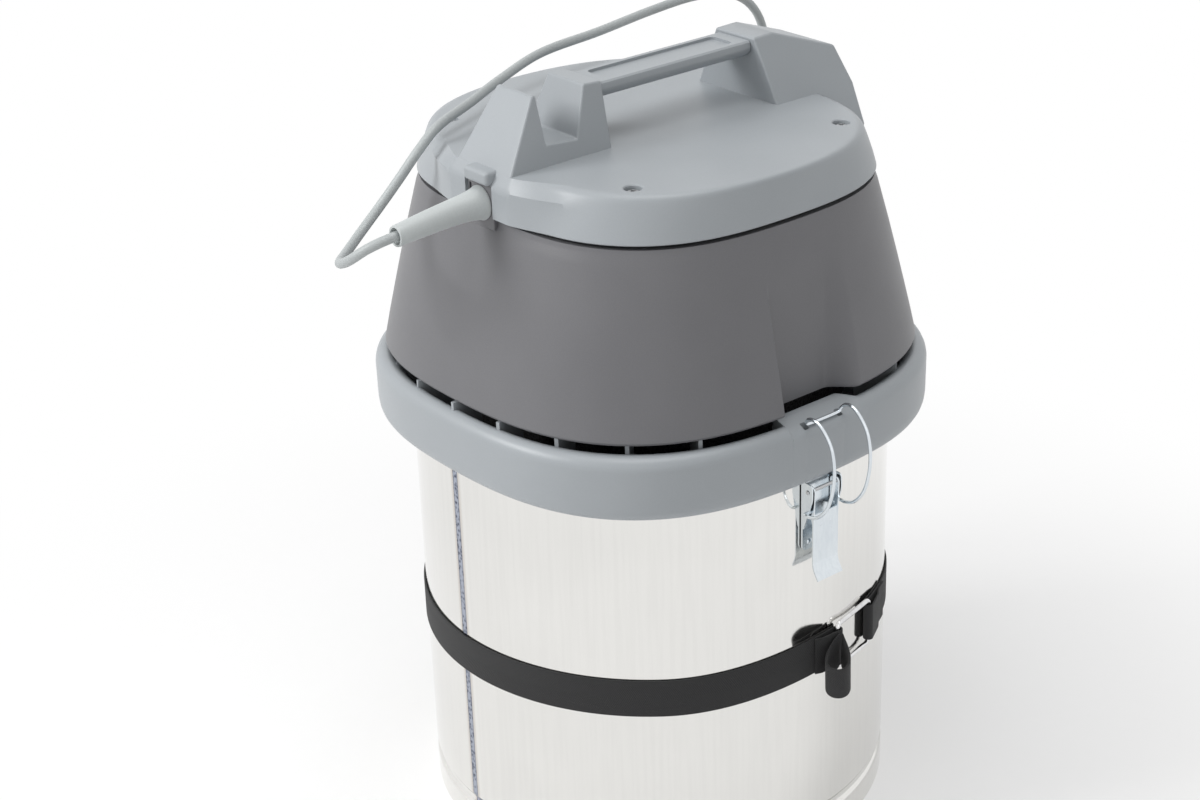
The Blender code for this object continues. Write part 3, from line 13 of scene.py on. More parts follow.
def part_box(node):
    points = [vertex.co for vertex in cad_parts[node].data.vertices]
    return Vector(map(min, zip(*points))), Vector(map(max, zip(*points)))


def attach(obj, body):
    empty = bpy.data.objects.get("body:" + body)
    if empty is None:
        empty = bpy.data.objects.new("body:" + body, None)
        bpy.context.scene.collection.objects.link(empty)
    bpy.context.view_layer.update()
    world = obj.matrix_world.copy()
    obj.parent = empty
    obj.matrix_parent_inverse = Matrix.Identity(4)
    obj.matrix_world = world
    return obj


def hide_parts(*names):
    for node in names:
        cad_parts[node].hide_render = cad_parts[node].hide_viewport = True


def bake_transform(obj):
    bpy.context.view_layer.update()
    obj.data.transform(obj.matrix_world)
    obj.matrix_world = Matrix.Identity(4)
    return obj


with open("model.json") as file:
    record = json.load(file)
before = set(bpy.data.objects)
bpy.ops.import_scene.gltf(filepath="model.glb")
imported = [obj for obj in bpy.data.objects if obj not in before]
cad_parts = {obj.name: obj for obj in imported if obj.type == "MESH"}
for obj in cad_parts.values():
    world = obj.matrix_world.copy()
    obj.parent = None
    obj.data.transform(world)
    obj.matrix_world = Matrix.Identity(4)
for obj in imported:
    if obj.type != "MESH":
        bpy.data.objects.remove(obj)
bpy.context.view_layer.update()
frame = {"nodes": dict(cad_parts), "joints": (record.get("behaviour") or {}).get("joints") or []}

ROUND = 240                   # sides of a large round outline
SMALL_ROUND = 48
QUARTER = math.pi / 2
WALL_LAP = 0.0003             # left between pieces that touch
UP = Vector((0, 0, 1))

RING = Vector((0, 0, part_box("head_ring")[0].z))
TANK_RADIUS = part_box("tank_shell")[1].x - 0.0025
TANK_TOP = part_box("tank_shell")[1].z
SEAM_X = -0.008


# ---- finishes --------------------------------------------------------------------------------
def rgb(red, green, blue):
    """A display colour from 0 to 255 as linear light."""
    def linear(value):
        value /= 255
        return value / 12.92 if value <= 0.04045 else ((value + 0.055) / 1.055) ** 2.4
    return linear(red), linear(green), linear(blue), 1.0


class Value:
    """A node's output; arithmetic on it adds Math nodes."""

    def __init__(self, finish, socket):
        self.finish = finish
        self.socket = socket

    def math(self, operation, *others):
        return self.finish.node("ShaderNodeMath", {"operation": operation},
                                dict(enumerate((self, *others))))

    def __add__(self, other):
        return self.math("ADD", other)

    def __mul__(self, other):
        return self.math("MULTIPLY", other)

    def __sub__(self, other):
        return self.math("SUBTRACT", other)

    def __rsub__(self, other):
        return self.finish.node("ShaderNodeMath", {"operation": "SUBTRACT"}, {0: other, 1: self})

    __radd__ = __add__
    __rmul__ = __mul__

    def absolute(self):
        return self.math("ABSOLUTE")

    def step(self, low, high, new_low=0.0, new_high=1.0):
        """Goes softly from new_low to new_high while the value goes from low to high."""
        return self.finish.node("ShaderNodeMapRange", {"interpolation_type": "SMOOTHSTEP"},
                                {0: self, 1: low, 2: high, 3: new_low, 4: new_high})


class Finish:
    """A material; all its nodes come from node()."""

    def __init__(self, name, colour, roughness, **sockets):
        self.material = bpy.data.materials.new(name)
        self.material.use_nodes = True
        self.tree = self.material.node_tree
        self.shader = self.tree.nodes["Principled BSDF"]
        self.set("Base Color", colour)
        self.set("Roughness", roughness)
        for socket, value in sockets.items():
            self.set(socket.replace("_", " "), value)
        self.place = self.node("ShaderNodeTexCoord", output="Object")

    def node(self, kind, settings=None, sockets=None, output=0):
        made = self.tree.nodes.new(kind)
        for name, value in (settings or {}).items():
            setattr(made, name, value)
        for key, value in (sockets or {}).items():
            self.feed(made.inputs[key], value)
        return Value(self, made.outputs[output])

    def feed(self, socket, value):
        if isinstance(value, Value):
            self.tree.links.new(value.socket, socket)
        else:
            socket.default_value = value

    def set(self, name, value):
        self.feed(self.shader.inputs[name], value)

    def axis(self, name):
        return self.node("ShaderNodeSeparateXYZ", sockets={0: self.place}, output=name)

    def stretched(self, x, y, z):
        """Object coordinates with each axis drawn out or packed."""
        return self.node("ShaderNodeVectorMath", {"operation": "MULTIPLY"},
                         {0: self.place, 1: (x, y, z)})

    def noise(self, scale, detail=2.0, where=None):
        return self.node("ShaderNodeTexNoise", None,
                         {"Vector": where or self.place, "Scale": scale, "Detail": detail})

    def grains(self, scale, where=None):
        return self.node("ShaderNodeTexVoronoi", None, {"Vector": where or self.place, "Scale": scale})

    def wave(self, axis_value, pitch):
        """A ridge every pitch along a value, from -1 to 1."""
        return (axis_value * (math.tau / pitch)).math("SINE")

    def mix(self, share, first, second):
        """Colour that goes from the first to the second."""
        return self.node("ShaderNodeMix", {"data_type": "RGBA"}, {0: share, 6: first, 7: second}, output=2)

    def raise_by(self, height, distance, strength=1.0):
        """Bump of a height from 0 to 1, distance metres high."""
        self.set("Normal", self.node("ShaderNodeBump", None,
                                     {"Height": height, "Distance": distance, "Strength": strength}))


def moulded(name, colour, shade, roughness, grain=1500.0, depth=0.00004):
    """Injection-moulded plastic: fine grain, faint flow marks and a soft gloss that varies."""
    finish = Finish(name, colour, roughness)
    broad = finish.noise(9.0, 3.0)
    fine = finish.noise(grain, 2.0)
    finish.set("Base Color", finish.mix(broad.step(0.3, 0.7) * 0.6 + fine.step(0.35, 0.65) * 0.4,
                                        colour, shade))
    finish.set("Roughness", roughness + (broad - 0.5) * 0.10 + (fine - 0.5) * 0.08)
    finish.raise_by(fine, depth)
    return finish


def metal(name, colour, shade, roughness, streak=(1, 1, 1), grain=400.0, depth=0.000004):
    """Bare or plated metal with drawn streaks and cloudy gloss."""
    finish = Finish(name, colour, roughness, Metallic=1.0)
    cloud = finish.noise(24.0, 4.0)
    streaks = finish.noise(grain, 3.0, finish.stretched(*streak))
    finish.set("Base Color", finish.mix(cloud.step(0.35, 0.75) * 0.5 + streaks.step(0.3, 0.8) * 0.5,
                                        colour, shade))
    finish.set("Roughness", roughness + (cloud - 0.5) * 0.06 + (streaks - 0.5) * 0.10)
    finish.raise_by(streaks, depth)
    return finish


def make_tank_steel():
    """Bright rolled sheet with one lengthwise weld."""
    finish = Finish("tank_steel", rgb(224, 223, 220), 0.10, Metallic=1.0)
    x, y = finish.axis("X"), finish.axis("Y")
    cloud = finish.noise(7.0, 3.0)
    lines = finish.noise(260.0, 2.0, finish.stretched(1.0, 1.0, 0.04))
    plain = finish.mix(cloud.step(0.3, 0.8) * 0.7 + lines.step(0.35, 0.7) * 0.3,
                       rgb(231, 230, 227), rgb(224, 223, 220))
    front = (0 - y).step(0.10, 0.12)
    away = (x - SEAM_X).absolute()
    bead = away.step(0.0029, 0.0034, 1.0, 0.0) * front
    tint = away.step(0.0032, 0.0075, 1.0, 0.0) * front
    ripple = finish.grains(430.0, finish.stretched(0.9, 0.0, 0.75)).step(0.10, 0.65)
    edge = away.step(0.0016, 0.0028)
    tinted = finish.mix(tint * 0.45, plain, rgb(176, 162, 150))
    weld = finish.mix(edge * 0.55, finish.mix(ripple, rgb(70, 76, 96), rgb(168, 174, 188)), rgb(78, 80, 88))
    finish.set("Base Color", finish.mix(bead, tinted, weld))
    finish.set("Roughness", 0.08 + (cloud - 0.5) * 0.04 + lines * 0.02 + bead * 0.25)
    finish.raise_by(lines * 0.01 + bead * (0.4 + ripple * 0.6), 0.0004)
    return finish


def make_webbing():
    """Woven polypropylene strap: cross ribs and a herringbone of yarns."""
    finish = Finish("webbing", rgb(40, 40, 41), 0.85)
    along = finish.node("ShaderNodeAttribute", {"attribute_name": "along"}, output="Fac")
    across = finish.node("ShaderNodeAttribute", {"attribute_name": "across"}, output="Fac")
    skew = along + across.absolute() * 0.6
    ribs = finish.wave(skew, 0.0016) * 0.5 + 0.5
    yarns = finish.wave(across, 0.0011) * 0.5 + 0.5
    fuzz = finish.noise(1800.0, 2.0)
    height = ribs * 0.6 + yarns * 0.3 + fuzz * 0.3
    # Painted shade: the colour follows the weave's height, so the grooves between ribs and yarns are painted
    # darker; the fuzz adds a random tone on top.
    finish.set("Base Color", finish.mix(height, rgb(16, 16, 17), rgb(46, 46, 47)))
    finish.set("Roughness", 0.80 + fuzz * 0.15)
    finish.raise_by(height, 0.00025)
    finish.set("Sheen Weight", 0.08)
    finish.set("Sheen Roughness", 0.5)
    return finish


def make_foam():
    finish = Finish("open_foam", rgb(26, 26, 27), 0.95)
    cells = finish.grains(420.0)
    fine = finish.noise(900.0)
    # Painted shade: the colour follows the cells' bump, so each pit is painted darker than the cell walls
    # around it.
    finish.set("Base Color", finish.mix(cells.step(0.1, 0.6), rgb(9, 9, 10), rgb(38, 38, 39)))
    finish.set("Roughness", 0.90 + fine * 0.08)
    finish.raise_by(cells, 0.0010)
    return finish


def make_pleats():
    finish = Finish("filter_cloth", rgb(222, 220, 210), 0.9)
    felt = finish.noise(1300.0, 3.0)
    dust = finish.noise(14.0, 4.0)
    finish.set("Base Color", finish.mix(dust.step(0.45, 0.8) * 0.6 + felt * 0.3,
                                        rgb(226, 224, 215), rgb(180, 176, 164)))
    finish.set("Roughness", 0.86 + felt * 0.1)
    finish.raise_by(felt, 0.00012)
    return finish


TANK_STEEL = make_tank_steel()
ZINC = metal("zinc_plate", rgb(222, 228, 232), rgb(208, 215, 221), 0.20, (1, 1, 0.2), 500.0, 0.0000015)
CHROME = metal("chrome", rgb(232, 232, 232), rgb(206, 206, 208), 0.09, (1, 1, 1), 300.0)
STEEL = metal("machined_steel", rgb(196, 197, 198), rgb(164, 165, 168), 0.30, (0.3, 0.3, 4), 700.0)
SHEET_STEEL = metal("sheet_steel", rgb(214, 213, 210), rgb(194, 193, 190), 0.22, (0.3, 0.3, 3), 500.0)
COPPER = metal("copper_wire", rgb(206, 122, 78), rgb(150, 78, 46), 0.32, (1, 1, 12), 300.0, 0.00008)
LIGHT_PLASTIC = moulded("light_grey_plastic", rgb(164, 169, 173), rgb(157, 162, 166), 0.40)
DARK_PLASTIC = moulded("dark_grey_plastic", rgb(112, 112, 115), rgb(104, 104, 107), 0.42)
BLACK_PLASTIC = moulded("black_plastic", rgb(34, 34, 35), rgb(24, 24, 25), 0.42)
CORD_GREY = moulded("cord_grey", rgb(178, 183, 183), rgb(168, 173, 174), 0.46, 500.0, 0.000006)
BOOT_GREY = moulded("boot_grey", rgb(198, 203, 203), rgb(190, 195, 195), 0.44, 700.0, 0.000015)
RUBBER = moulded("rubber", rgb(36, 36, 36), rgb(24, 24, 24), 0.72, 800.0, 0.00006)
WEBBING = make_webbing()
FOAM = make_foam()
PLEATS = make_pleats()


# ---- shape helpers ---------------------------------------------------------------------------
def verts_of(made):
    return [item for item in made if isinstance(item, bmesh.types.BMVert)]


def outline_spot(angle, radius, height, corner=0.0, stretch=0.0):
    """A point of a round outline with four soft corners, wider along X by the stretch."""
    reach = radius - corner * math.cos(4 * angle) + stretch * math.cos(2 * angle)
    return Vector((reach * math.cos(angle), reach * math.sin(angle), height))


def outline_angles(spans, sides=ROUND):
    """Even angles round an outline, with closer ones in spans of (start, end, step) degrees."""
    angles = {round(360 * i / sides, 3) for i in range(sides)}
    for start, end, step in spans:
        angles |= {round((start + step * i) % 360, 3) for i in range(round((end - start) / step) + 1)}
    return [math.radians(angle) for angle in sorted(angles)]


def stack(levels, closed=False, spans=(), reshape=None, sides=ROUND):
    """One outline drawn through levels of (radius, height, corner, stretch); the ends are closed.
    reshape(spot, angle, index) may move a level's points."""
    shape = bmesh.new()
    turn = shape.verts.layers.float.new("turn")
    angles = outline_angles(spans, sides)
    bmesh.ops.create_circle(shape, segments=len(angles), radius=1)
    for vert, angle in zip(shape.verts, angles):
        vert[turn] = angle

    def settle(verts, index):
        for vert in verts:
            spot = outline_spot(vert[turn], *levels[index])
            vert.co = reshape(spot, vert[turn], index) if reshape else spot

    first = rim = shape.edges[:]
    settle(shape.verts, 0)
    for index in range(1, len(levels)):
        made = bmesh.ops.extrude_edge_only(shape, edges=rim)["geom"]
        ring = set(verts_of(made))
        rim = [edge for edge in made if isinstance(edge, bmesh.types.BMEdge) and set(edge.verts) <= ring]
        settle(ring, index)
    if closed:
        bmesh.ops.bridge_loops(shape, edges=first + rim)
    else:
        bmesh.ops.edgeloop_fill(shape, edges=first + rim)
    bmesh.ops.recalc_face_normals(shape, faces=shape.faces)
    return shape


def filled(levels, step):
    """Levels with even ones put in between, no further apart than a step of height."""
    result = [levels[0]]
    for before, after in zip(levels, levels[1:]):
        count = max(1, math.ceil(abs(after[1] - before[1]) / step))
        for i in range(1, count + 1):
            result.append(tuple(a + (b - a) * i / count for a, b in zip(before, after)))
    return result


def ease(share):
    """0 to 1 with soft ends."""
    share = min(1.0, max(0.0, share))
    return share * share * (3 - 2 * share)


def spun(profile, sides=SMALL_ROUND, closed=True):
    """A profile of (radius, height) points turned round Z."""
    shape = bmesh.new()
    points = [shape.verts.new((radius, 0, height)) for radius, height in profile]
    pairs = list(zip(points, points[1:])) + ([(points[-1], points[0])] if closed else [])
    edges = [shape.edges.new(pair) for pair in pairs]
    bmesh.ops.spin(shape, geom=points + edges, axis=UP, angle=math.tau, steps=sides, use_merge=True)
    bmesh.ops.remove_doubles(shape, verts=shape.verts, dist=0.000001)
    bmesh.ops.recalc_face_normals(shape, faces=shape.faces)
    return shape


def block(low, high):
    """A box between two corners."""
    shape = bmesh.new()
    bmesh.ops.create_cube(shape, size=1)
    size = Vector(high) - Vector(low)
    bmesh.ops.scale(shape, vec=size, verts=shape.verts)
    bmesh.ops.translate(shape, vec=Vector(low) + size / 2, verts=shape.verts)
    return shape


def bar(radius, low, high, sides=SMALL_ROUND):
    """A round bar along Z."""
    return spun([(0, high), (radius, high), (radius, low), (0, low)], sides, closed=False)


def slab(outline, half_at):
    """A (y, z) outline spread to both sides along X, by half_at(y, z)."""
    shape = bmesh.new()
    face = shape.faces.new([shape.verts.new((0, y, z)) for y, z in outline])
    near = list(face.verts)
    far = verts_of(bmesh.ops.extrude_face_region(shape, geom=[face])["geom"])
    for side, verts in ((-1, near), (1, far)):
        for vert in verts:
            vert.co.x = side * half_at(vert.co.y, vert.co.z)
    bmesh.ops.recalc_face_normals(shape, faces=shape.faces)
    return shape


def soften(shape, width, segments=3, above=28.0):
    """Rounds every edge that turns by more than an angle."""
    edges = [edge for edge in shape.edges if len(edge.link_faces) == 2
             and edge.calc_face_angle(0) > math.radians(above)]
    bmesh.ops.bevel(shape, geom=edges, offset=width, offset_type="OFFSET", segments=segments,
                    profile=0.5, affect="EDGES", clamp_overlap=True, material=-1)
    return shape


def moved(shape, shift=(0, 0, 0), angle=0.0, axis="Z"):
    """Turns a shape about the origin, then shifts it."""
    matrix = Matrix.Translation(shift) @ Matrix.Rotation(angle, 4, axis)
    bmesh.ops.transform(shape, matrix=matrix, verts=shape.verts)
    return shape


def merged(*shapes):
    """Several separate shapes as one."""
    whole = bmesh.new()
    for shape in shapes:
        mesh = bpy.data.meshes.new("part")
        shape.to_mesh(mesh)
        whole.from_mesh(mesh)
        bpy.data.meshes.remove(mesh)
        shape.free()
    return whole


def as_object(name, shape):
    mesh = bpy.data.meshes.new(name)
    shape.to_mesh(mesh)
    shape.free()
    piece = bpy.data.objects.new(name, mesh)
    bpy.context.scene.collection.objects.link(piece)
    return piece


def baked_mesh(piece):
    """The piece's mesh as its modifiers show it."""
    bpy.context.view_layer.update()
    return bpy.data.meshes.new_from_object(piece.evaluated_get(bpy.context.evaluated_depsgraph_get()))


def carved(shape, *steps):
    """Takes out or adds solids; each step is (operation, solid)."""
    target = as_object("carving", shape)
    tools = []
    for operation, tool in steps:
        tools.append(as_object("tool", tool))
        change = target.modifiers.new("carve", "BOOLEAN")
        change.operation = operation
        change.solver = "EXACT"
        change.object = tools[-1]
    mesh = baked_mesh(target)
    result = bmesh.new()
    result.from_mesh(mesh)
    for piece in [target] + tools:
        bpy.data.objects.remove(piece)
    bmesh.ops.remove_doubles(result, verts=result.verts, dist=0.000002)
    bmesh.ops.dissolve_degenerate(result, edges=result.edges, dist=0.000002)
    return result


def dress(piece, finish, body, *nodes, sharp=32.0):
    """Gives a finished piece its looks and its body, and hides the CAD nodes that it stands for."""
    piece.data.materials.clear()
    piece.data.materials.append(finish.material)
    piece.data.shade_smooth()
    piece.data.set_sharp_from_angle(angle=math.radians(sharp))
    even = piece.modifiers.new("even_normals", "WEIGHTED_NORMAL")
    even.keep_sharp = True
    rough, piece.data = piece.data, baked_mesh(piece)
    piece.modifiers.clear()
    bpy.data.meshes.remove(rough)
    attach(piece, body)
    if nodes:
        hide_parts(*nodes)
    return piece


def fit(name, shape, finish, body, *nodes, at=(0, 0, 0), sharp=32.0):
    """Makes a shape a finished piece, shifted to its place."""
    bmesh.ops.translate(shape, vec=Vector(at), verts=shape.verts)
    return dress(as_object(name, shape), finish, body, *nodes, sharp=sharp)


def eased(points, radius, closed=False, steps=4):
    """Rounds the corners of a path of points."""
    path = [Vector(point) for point in points]
    count = len(path)
    result = []
    for i, here in enumerate(path):
        if not closed and i in (0, count - 1):
            result.append(here)
            continue
        before, after = path[i - 1] - here, path[(i + 1) % count] - here
        reach = min(radius, before.length * 0.45, after.length * 0.45)
        start, end = here + before.normalized() * reach, here + after.normalized() * reach
        for step in range(steps + 1):
            t = step / steps
            result.append(start * (1 - t) ** 2 + here * 2 * t * (1 - t) + end * t * t)
    return result


def smooth_route(points, spacing):
    """Points at an even spacing on a smooth curve through a route."""
    route = [Vector(point) for point in points]
    route = [2 * route[0] - route[1]] + route + [2 * route[-1] - route[-2]]
    fine = []
    for a, b, c, d in zip(route, route[1:], route[2:], route[3:]):
        for step in range(24):
            t = step / 24
            fine.append(0.5 * (2 * b + (c - a) * t + (2 * a - 5 * b + 4 * c - d) * t ** 2
                               + (3 * b - a - 3 * c + d) * t ** 3))
    fine.append(route[-2])
    gaps = [(q - p).length for p, q in zip(fine, fine[1:])]
    count = max(2, round(sum(gaps) / spacing))
    pace = sum(gaps) / count
    even, walked = [fine[0]], 0.0
    for p, q, gap in zip(fine, fine[1:], gaps):
        while walked + gap >= pace * len(even) and len(even) < count:
            even.append(p.lerp(q, (pace * len(even) - walked) / gap))
        walked += gap
    even.append(fine[-1])
    return even


def wire_mesh(name, points, radius, closed=False, fineness=4):
    """A round wire or cord along points, as a mesh piece without a finish."""
    curve = bpy.data.curves.new(name, "CURVE")
    curve.dimensions = "3D"
    spline = curve.splines.new("POLY")
    spline.points.add(len(points) - 1)
    for knot, point in zip(spline.points, points):
        knot.co = (*point, 1)
    spline.use_cyclic_u = closed
    curve.bevel_depth = radius
    curve.bevel_resolution = fineness
    curve.use_fill_caps = not closed
    guide = bpy.data.objects.new(name + "_guide", curve)
    bpy.context.scene.collection.objects.link(guide)
    piece = bpy.data.objects.new(name, baked_mesh(guide))
    bpy.data.objects.remove(guide)
    bpy.context.scene.collection.objects.link(piece)
    return piece


# ---- container -------------------------------------------------------------------------------
def build_tank():
    wall = 0.001
    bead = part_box("tank_shell")[0].z + 0.0265
    outer, inner = TANK_RADIUS, TANK_RADIUS - wall
    rim = TANK_TOP
    path = [(outer, rim - 0.0052), (outer + 0.0025, rim - 0.0042), (outer + 0.0025, rim - 0.0006),
            (outer + 0.0012, rim), (inner, rim), (inner, bead + 0.006), (inner - 0.0030, bead + 0.0022),
            (inner - 0.0030, bead - 0.0022), (inner, bead - 0.006), (inner, 0), (outer, 0),
            (outer, bead - 0.006), (outer - 0.0030, bead - 0.0022), (outer - 0.0030, bead + 0.0022),
            (outer, bead + 0.006)]
    path = [(p.x, p.y) for p in eased([(x, y, 0) for x, y in path], 0.0016, closed=True, steps=3)]
    shell = spun(path, 288)
    low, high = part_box("inlet_port")
    hole = moved(bar((high.z - low.z) / 2 - 0.0093, 0.12, 0.24), (0, 0, (low.z + high.z) / 2), -QUARTER, "X")
    fit("tank_wall", carved(shell, ("DIFFERENCE", hole)), TANK_STEEL, "container", "tank_shell")


def build_inlet():
    low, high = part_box("inlet_port")
    centre, end = Vector((0, 0, (low.z + high.z) / 2)), high.y
    bore, outer, flange = 0.0190, 0.0215, 0.031
    flange_in = TANK_RADIUS + 0.0088
    port = [(outer, end), (outer, flange_in + 0.0040), (outer + 0.0020, flange_in + 0.0032),
            (flange, flange_in + 0.0032), (flange, flange_in), (outer, flange_in),
            (outer, low.y), (bore, low.y), (bore, end)]
    port = [(p.x, p.y) for p in eased([(x, y, 0) for x, y in port], 0.0009, closed=True, steps=3)]
    lugs = []
    for turn in (0, math.pi):
        lug = soften(block((-0.0045, 0.0205, end - 0.014), (0.0045, 0.0238, end - 0.009)), 0.0008)
        lugs.append(("UNION", moved(lug, angle=turn)))
    screws = []
    for i in range(4):
        turn = math.pi / 4 + i * QUARTER
        head = soften(bar(0.0024, flange_in + 0.0030, flange_in + 0.0046, 20), 0.0005)
        screws.append(moved(head, (0.0262 * math.cos(turn), 0.0262 * math.sin(turn), 0)))
    fit("inlet_spigot", moved(carved(spun(port, 96), *lugs), centre, -QUARTER, "X"), BLACK_PLASTIC,
        "container", "inlet_port")
    fit("inlet_screws", moved(merged(*screws), centre, -QUARTER, "X"), STEEL, "container")
    seat = spun([(outer + WALL_LAP, flange_in - WALL_LAP), (flange - 0.0010, flange_in - WALL_LAP),
                 (flange - 0.0010, TANK_RADIUS - 0.006), (outer + WALL_LAP, TANK_RADIUS - 0.006)], 96)
    gasket = carved(moved(seat, centre, -QUARTER, "X"),
                    ("DIFFERENCE", bar(TANK_RADIUS + WALL_LAP, 0.1, RING.z, ROUND)))
    fit("inlet_seal", gasket, RUBBER, "container", "inlet_gasket")


def strap_height(angle):
    """Lower edge of the strap: its ends climb towards the bail."""
    start, end = BAIL_ANGLES
    away = abs((angle - (start + end) / 2 + 180) % 360 - 180) - (end - start) / 2
    share = min(1.0, max(0.0, 1 - away / 45.0))
    return RING.z - 0.182 + 0.009 * share * share * (3 - 2 * share)


def ribbon(path, width, thickness, rises=None):
    """Webbing along a path of lower-edge points, upright or leaning by rises, with its woven coordinates."""
    rises = rises or [UP] * len(path)
    shape = bmesh.new()
    along = shape.verts.layers.float.new("along")
    across = shape.verts.layers.float.new("across")
    rows = 6
    line = [shape.verts.new(path[0] + rises[0] * width * i / rows) for i in range(rows + 1)]
    for i, vert in enumerate(line):
        vert[across] = width * (i / rows - 0.5)
    edges = [shape.edges.new(pair) for pair in zip(line, line[1:])]
    walked = 0.0
    for before, here, rise in zip(path, path[1:], rises[1:]):
        walked += (here - before).length
        made = bmesh.ops.extrude_edge_only(shape, edges=edges)["geom"]
        fresh = set(verts_of(made))
        edges = [e for e in made if isinstance(e, bmesh.types.BMEdge) and set(e.verts) <= fresh]
        for vert in fresh:
            vert[along] = walked
            vert.co = here + rise * (vert[across] + width / 2)
    bmesh.ops.recalc_face_normals(shape, faces=shape.faces)
    piece = as_object("ribbon", shape)
    skin = piece.modifiers.new("thickness", "SOLIDIFY")
    skin.thickness = thickness
    skin.offset = 0
    edge = piece.modifiers.new("edge", "BEVEL")
    edge.width = thickness * 0.35
    edge.segments = 2
    edge.limit_method = "ANGLE"
    edge.angle_limit = math.radians(50)
    mesh = baked_mesh(piece)
    bpy.data.objects.remove(piece)
    return mesh


def add_mesh(name, mesh, finish, body, *nodes):
    piece = bpy.data.objects.new(name, mesh)
    bpy.context.scene.collection.objects.link(piece)
    return dress(piece, finish, body, *nodes, sharp=50)


BAIL_ANGLES = (6.3, 20.0)


def build_strap():
    """Webbing round the tank, hooked on both legs of the bail, with the tail's loop."""
    thick, width = 0.0015, 0.0315
    middle = TANK_RADIUS + WALL_LAP + thick / 2
    leg_radius = TANK_RADIUS + 0.0045
    hook = leg_radius - middle
    start, end = BAIL_ANGLES

    def on_tank(radius, angle):
        turn = math.radians(angle)
        return Vector((radius * math.cos(turn), radius * math.sin(turn), strap_height(angle)))

    def hooked(leg_angle, side):
        """From the free tail round the bail's leg to the tank; side is the tail's direction."""
        laps = (12, 10, 8) if side > 0 else (7,)
        steps = [on_tank(middle + thick + WALL_LAP, leg_angle + side * away) for away in laps]
        steps.append(on_tank(leg_radius + hook * 0.2, leg_angle + side * 5.5))
        turn = math.radians(leg_angle)
        outward = Vector((math.cos(turn), math.sin(turn), 0))
        across = Vector((-outward.y, outward.x, 0)) * -side
        for i in range(11):
            bend = math.pi * i / 10
            spot = outward * (leg_radius + hook * math.cos(bend)) + across * hook * math.sin(bend)
            steps.append(Vector((spot.x, spot.y, strap_height(leg_angle))))
        return steps

    path = hooked(end, 1)
    first, last, sides = end + 3.5, start + 360 - 3.5, 220
    path += [on_tank(middle, first + (last - first) * i / sides) for i in range(sides + 1)]
    path += reversed(hooked(start, -1))
    add_mesh("strap_band", ribbon(path, width, thick), WEBBING, "container", "strap_webbing")

    low = strap_height(start) - 0.0035
    high = low + width + 0.007
    corners = []
    for angle, heights in ((start, (high, low)), (end, (low, high))):
        turn = math.radians(angle)
        corners += [(leg_radius * math.cos(turn), leg_radius * math.sin(turn), z) for z in heights]
    bail = wire_mesh("bail_wire", eased(corners, 0.005, closed=True, steps=6), 0.002, closed=True)
    dress(bail, CHROME, "container", "strap_bail")

    root = on_tank(leg_radius + hook + 0.0016, start - 0.6)
    out = Vector((math.cos(math.radians(-50)), math.sin(math.radians(-50)), 0))
    sideways = Vector((-out.y, out.x, 0))
    loop, rises = [], []
    for i in range(61):
        t = i / 60
        share = math.sin(math.pi * t) ** 0.85
        reach = 0.0265 * share
        swing = 0.0085 * math.sin(2 * math.pi * t)
        aside = swing + 0.0012 * (1 - 2 * t)
        loop.append(root + out * reach + sideways * aside - UP * 0.0125 * share ** 1.4)
        rises.append((UP + out * 0.20 * share).normalized())
    add_mesh("tail_loop", ribbon(loop, width - 0.0015, thick, rises), WEBBING, "container", "strap_tail")


# ---- latches ---------------------------------------------------------------------------------
LEVER_HALF = 0.0130
SHEET = 0.0012


def plate_of(outline, low_y, high_y):
    """A flat piece with an (x, z) outline between two heights along Y."""
    shape = bmesh.new()
    face = shape.faces.new([shape.verts.new((x, low_y, z)) for x, z in outline])
    made = bmesh.ops.extrude_face_region(shape, geom=[face])["geom"]
    bmesh.ops.translate(shape, vec=(0, high_y - low_y, 0), verts=verts_of(made))
    bmesh.ops.recalc_face_normals(shape, faces=shape.faces)
    return shape


def rounded_outline(points, radius, steps=4):
    return [(p.x, p.y) for p in eased([(x, z, 0) for x, z in points], radius, closed=True, steps=steps)]


def latch_base():
    """Riveted plate with a tapering flange on each side, drawn from the pin."""
    back, front, inner = -0.0070, -0.0052, 0.0145
    plate = block((back, -inner - SHEET, -0.0517), (front, inner + SHEET, 0.0068))
    corners = [edge for edge in plate.edges if abs((edge.verts[0].co - edge.verts[1].co).normalized().x) > 0.9
               and edge.verts[0].co.z < 0]
    bmesh.ops.bevel(plate, geom=corners, offset=0.004, offset_type="OFFSET", segments=5, profile=0.5,
                    affect="EDGES", clamp_overlap=True, material=-1)
    outline = rounded_outline([(back, 0.0068), (0.0044, 0.0068), (0.0046, -0.0060), (-0.0045, -0.0330),
                               (back, -0.0330)], 0.0038)
    steps = []
    for side in (-1, 1):
        low, high = sorted((side * inner, side * (inner + SHEET)))
        steps.append(("UNION", plate_of(outline, low, high)))
    steps.append(("DIFFERENCE", moved(bar(0.0018, -0.030, 0.030, 24), angle=QUARTER, axis="X")))
    rivets = []
    for y in (-0.0085, 0.0085):
        dome = spun([(0, 0.0012), (0.0012, 0.0010), (0.0022, 0.0004), (0.0025, 0), (0.0025, -0.0010),
                     (0, -0.0010)], 24, closed=False)
        rivets.append(moved(dome, (front, y, -0.0455), QUARTER, "Y"))
    steps.append(("UNION", merged(*rivets)))
    return soften(carved(plate, *steps), 0.00018, 2, 50)


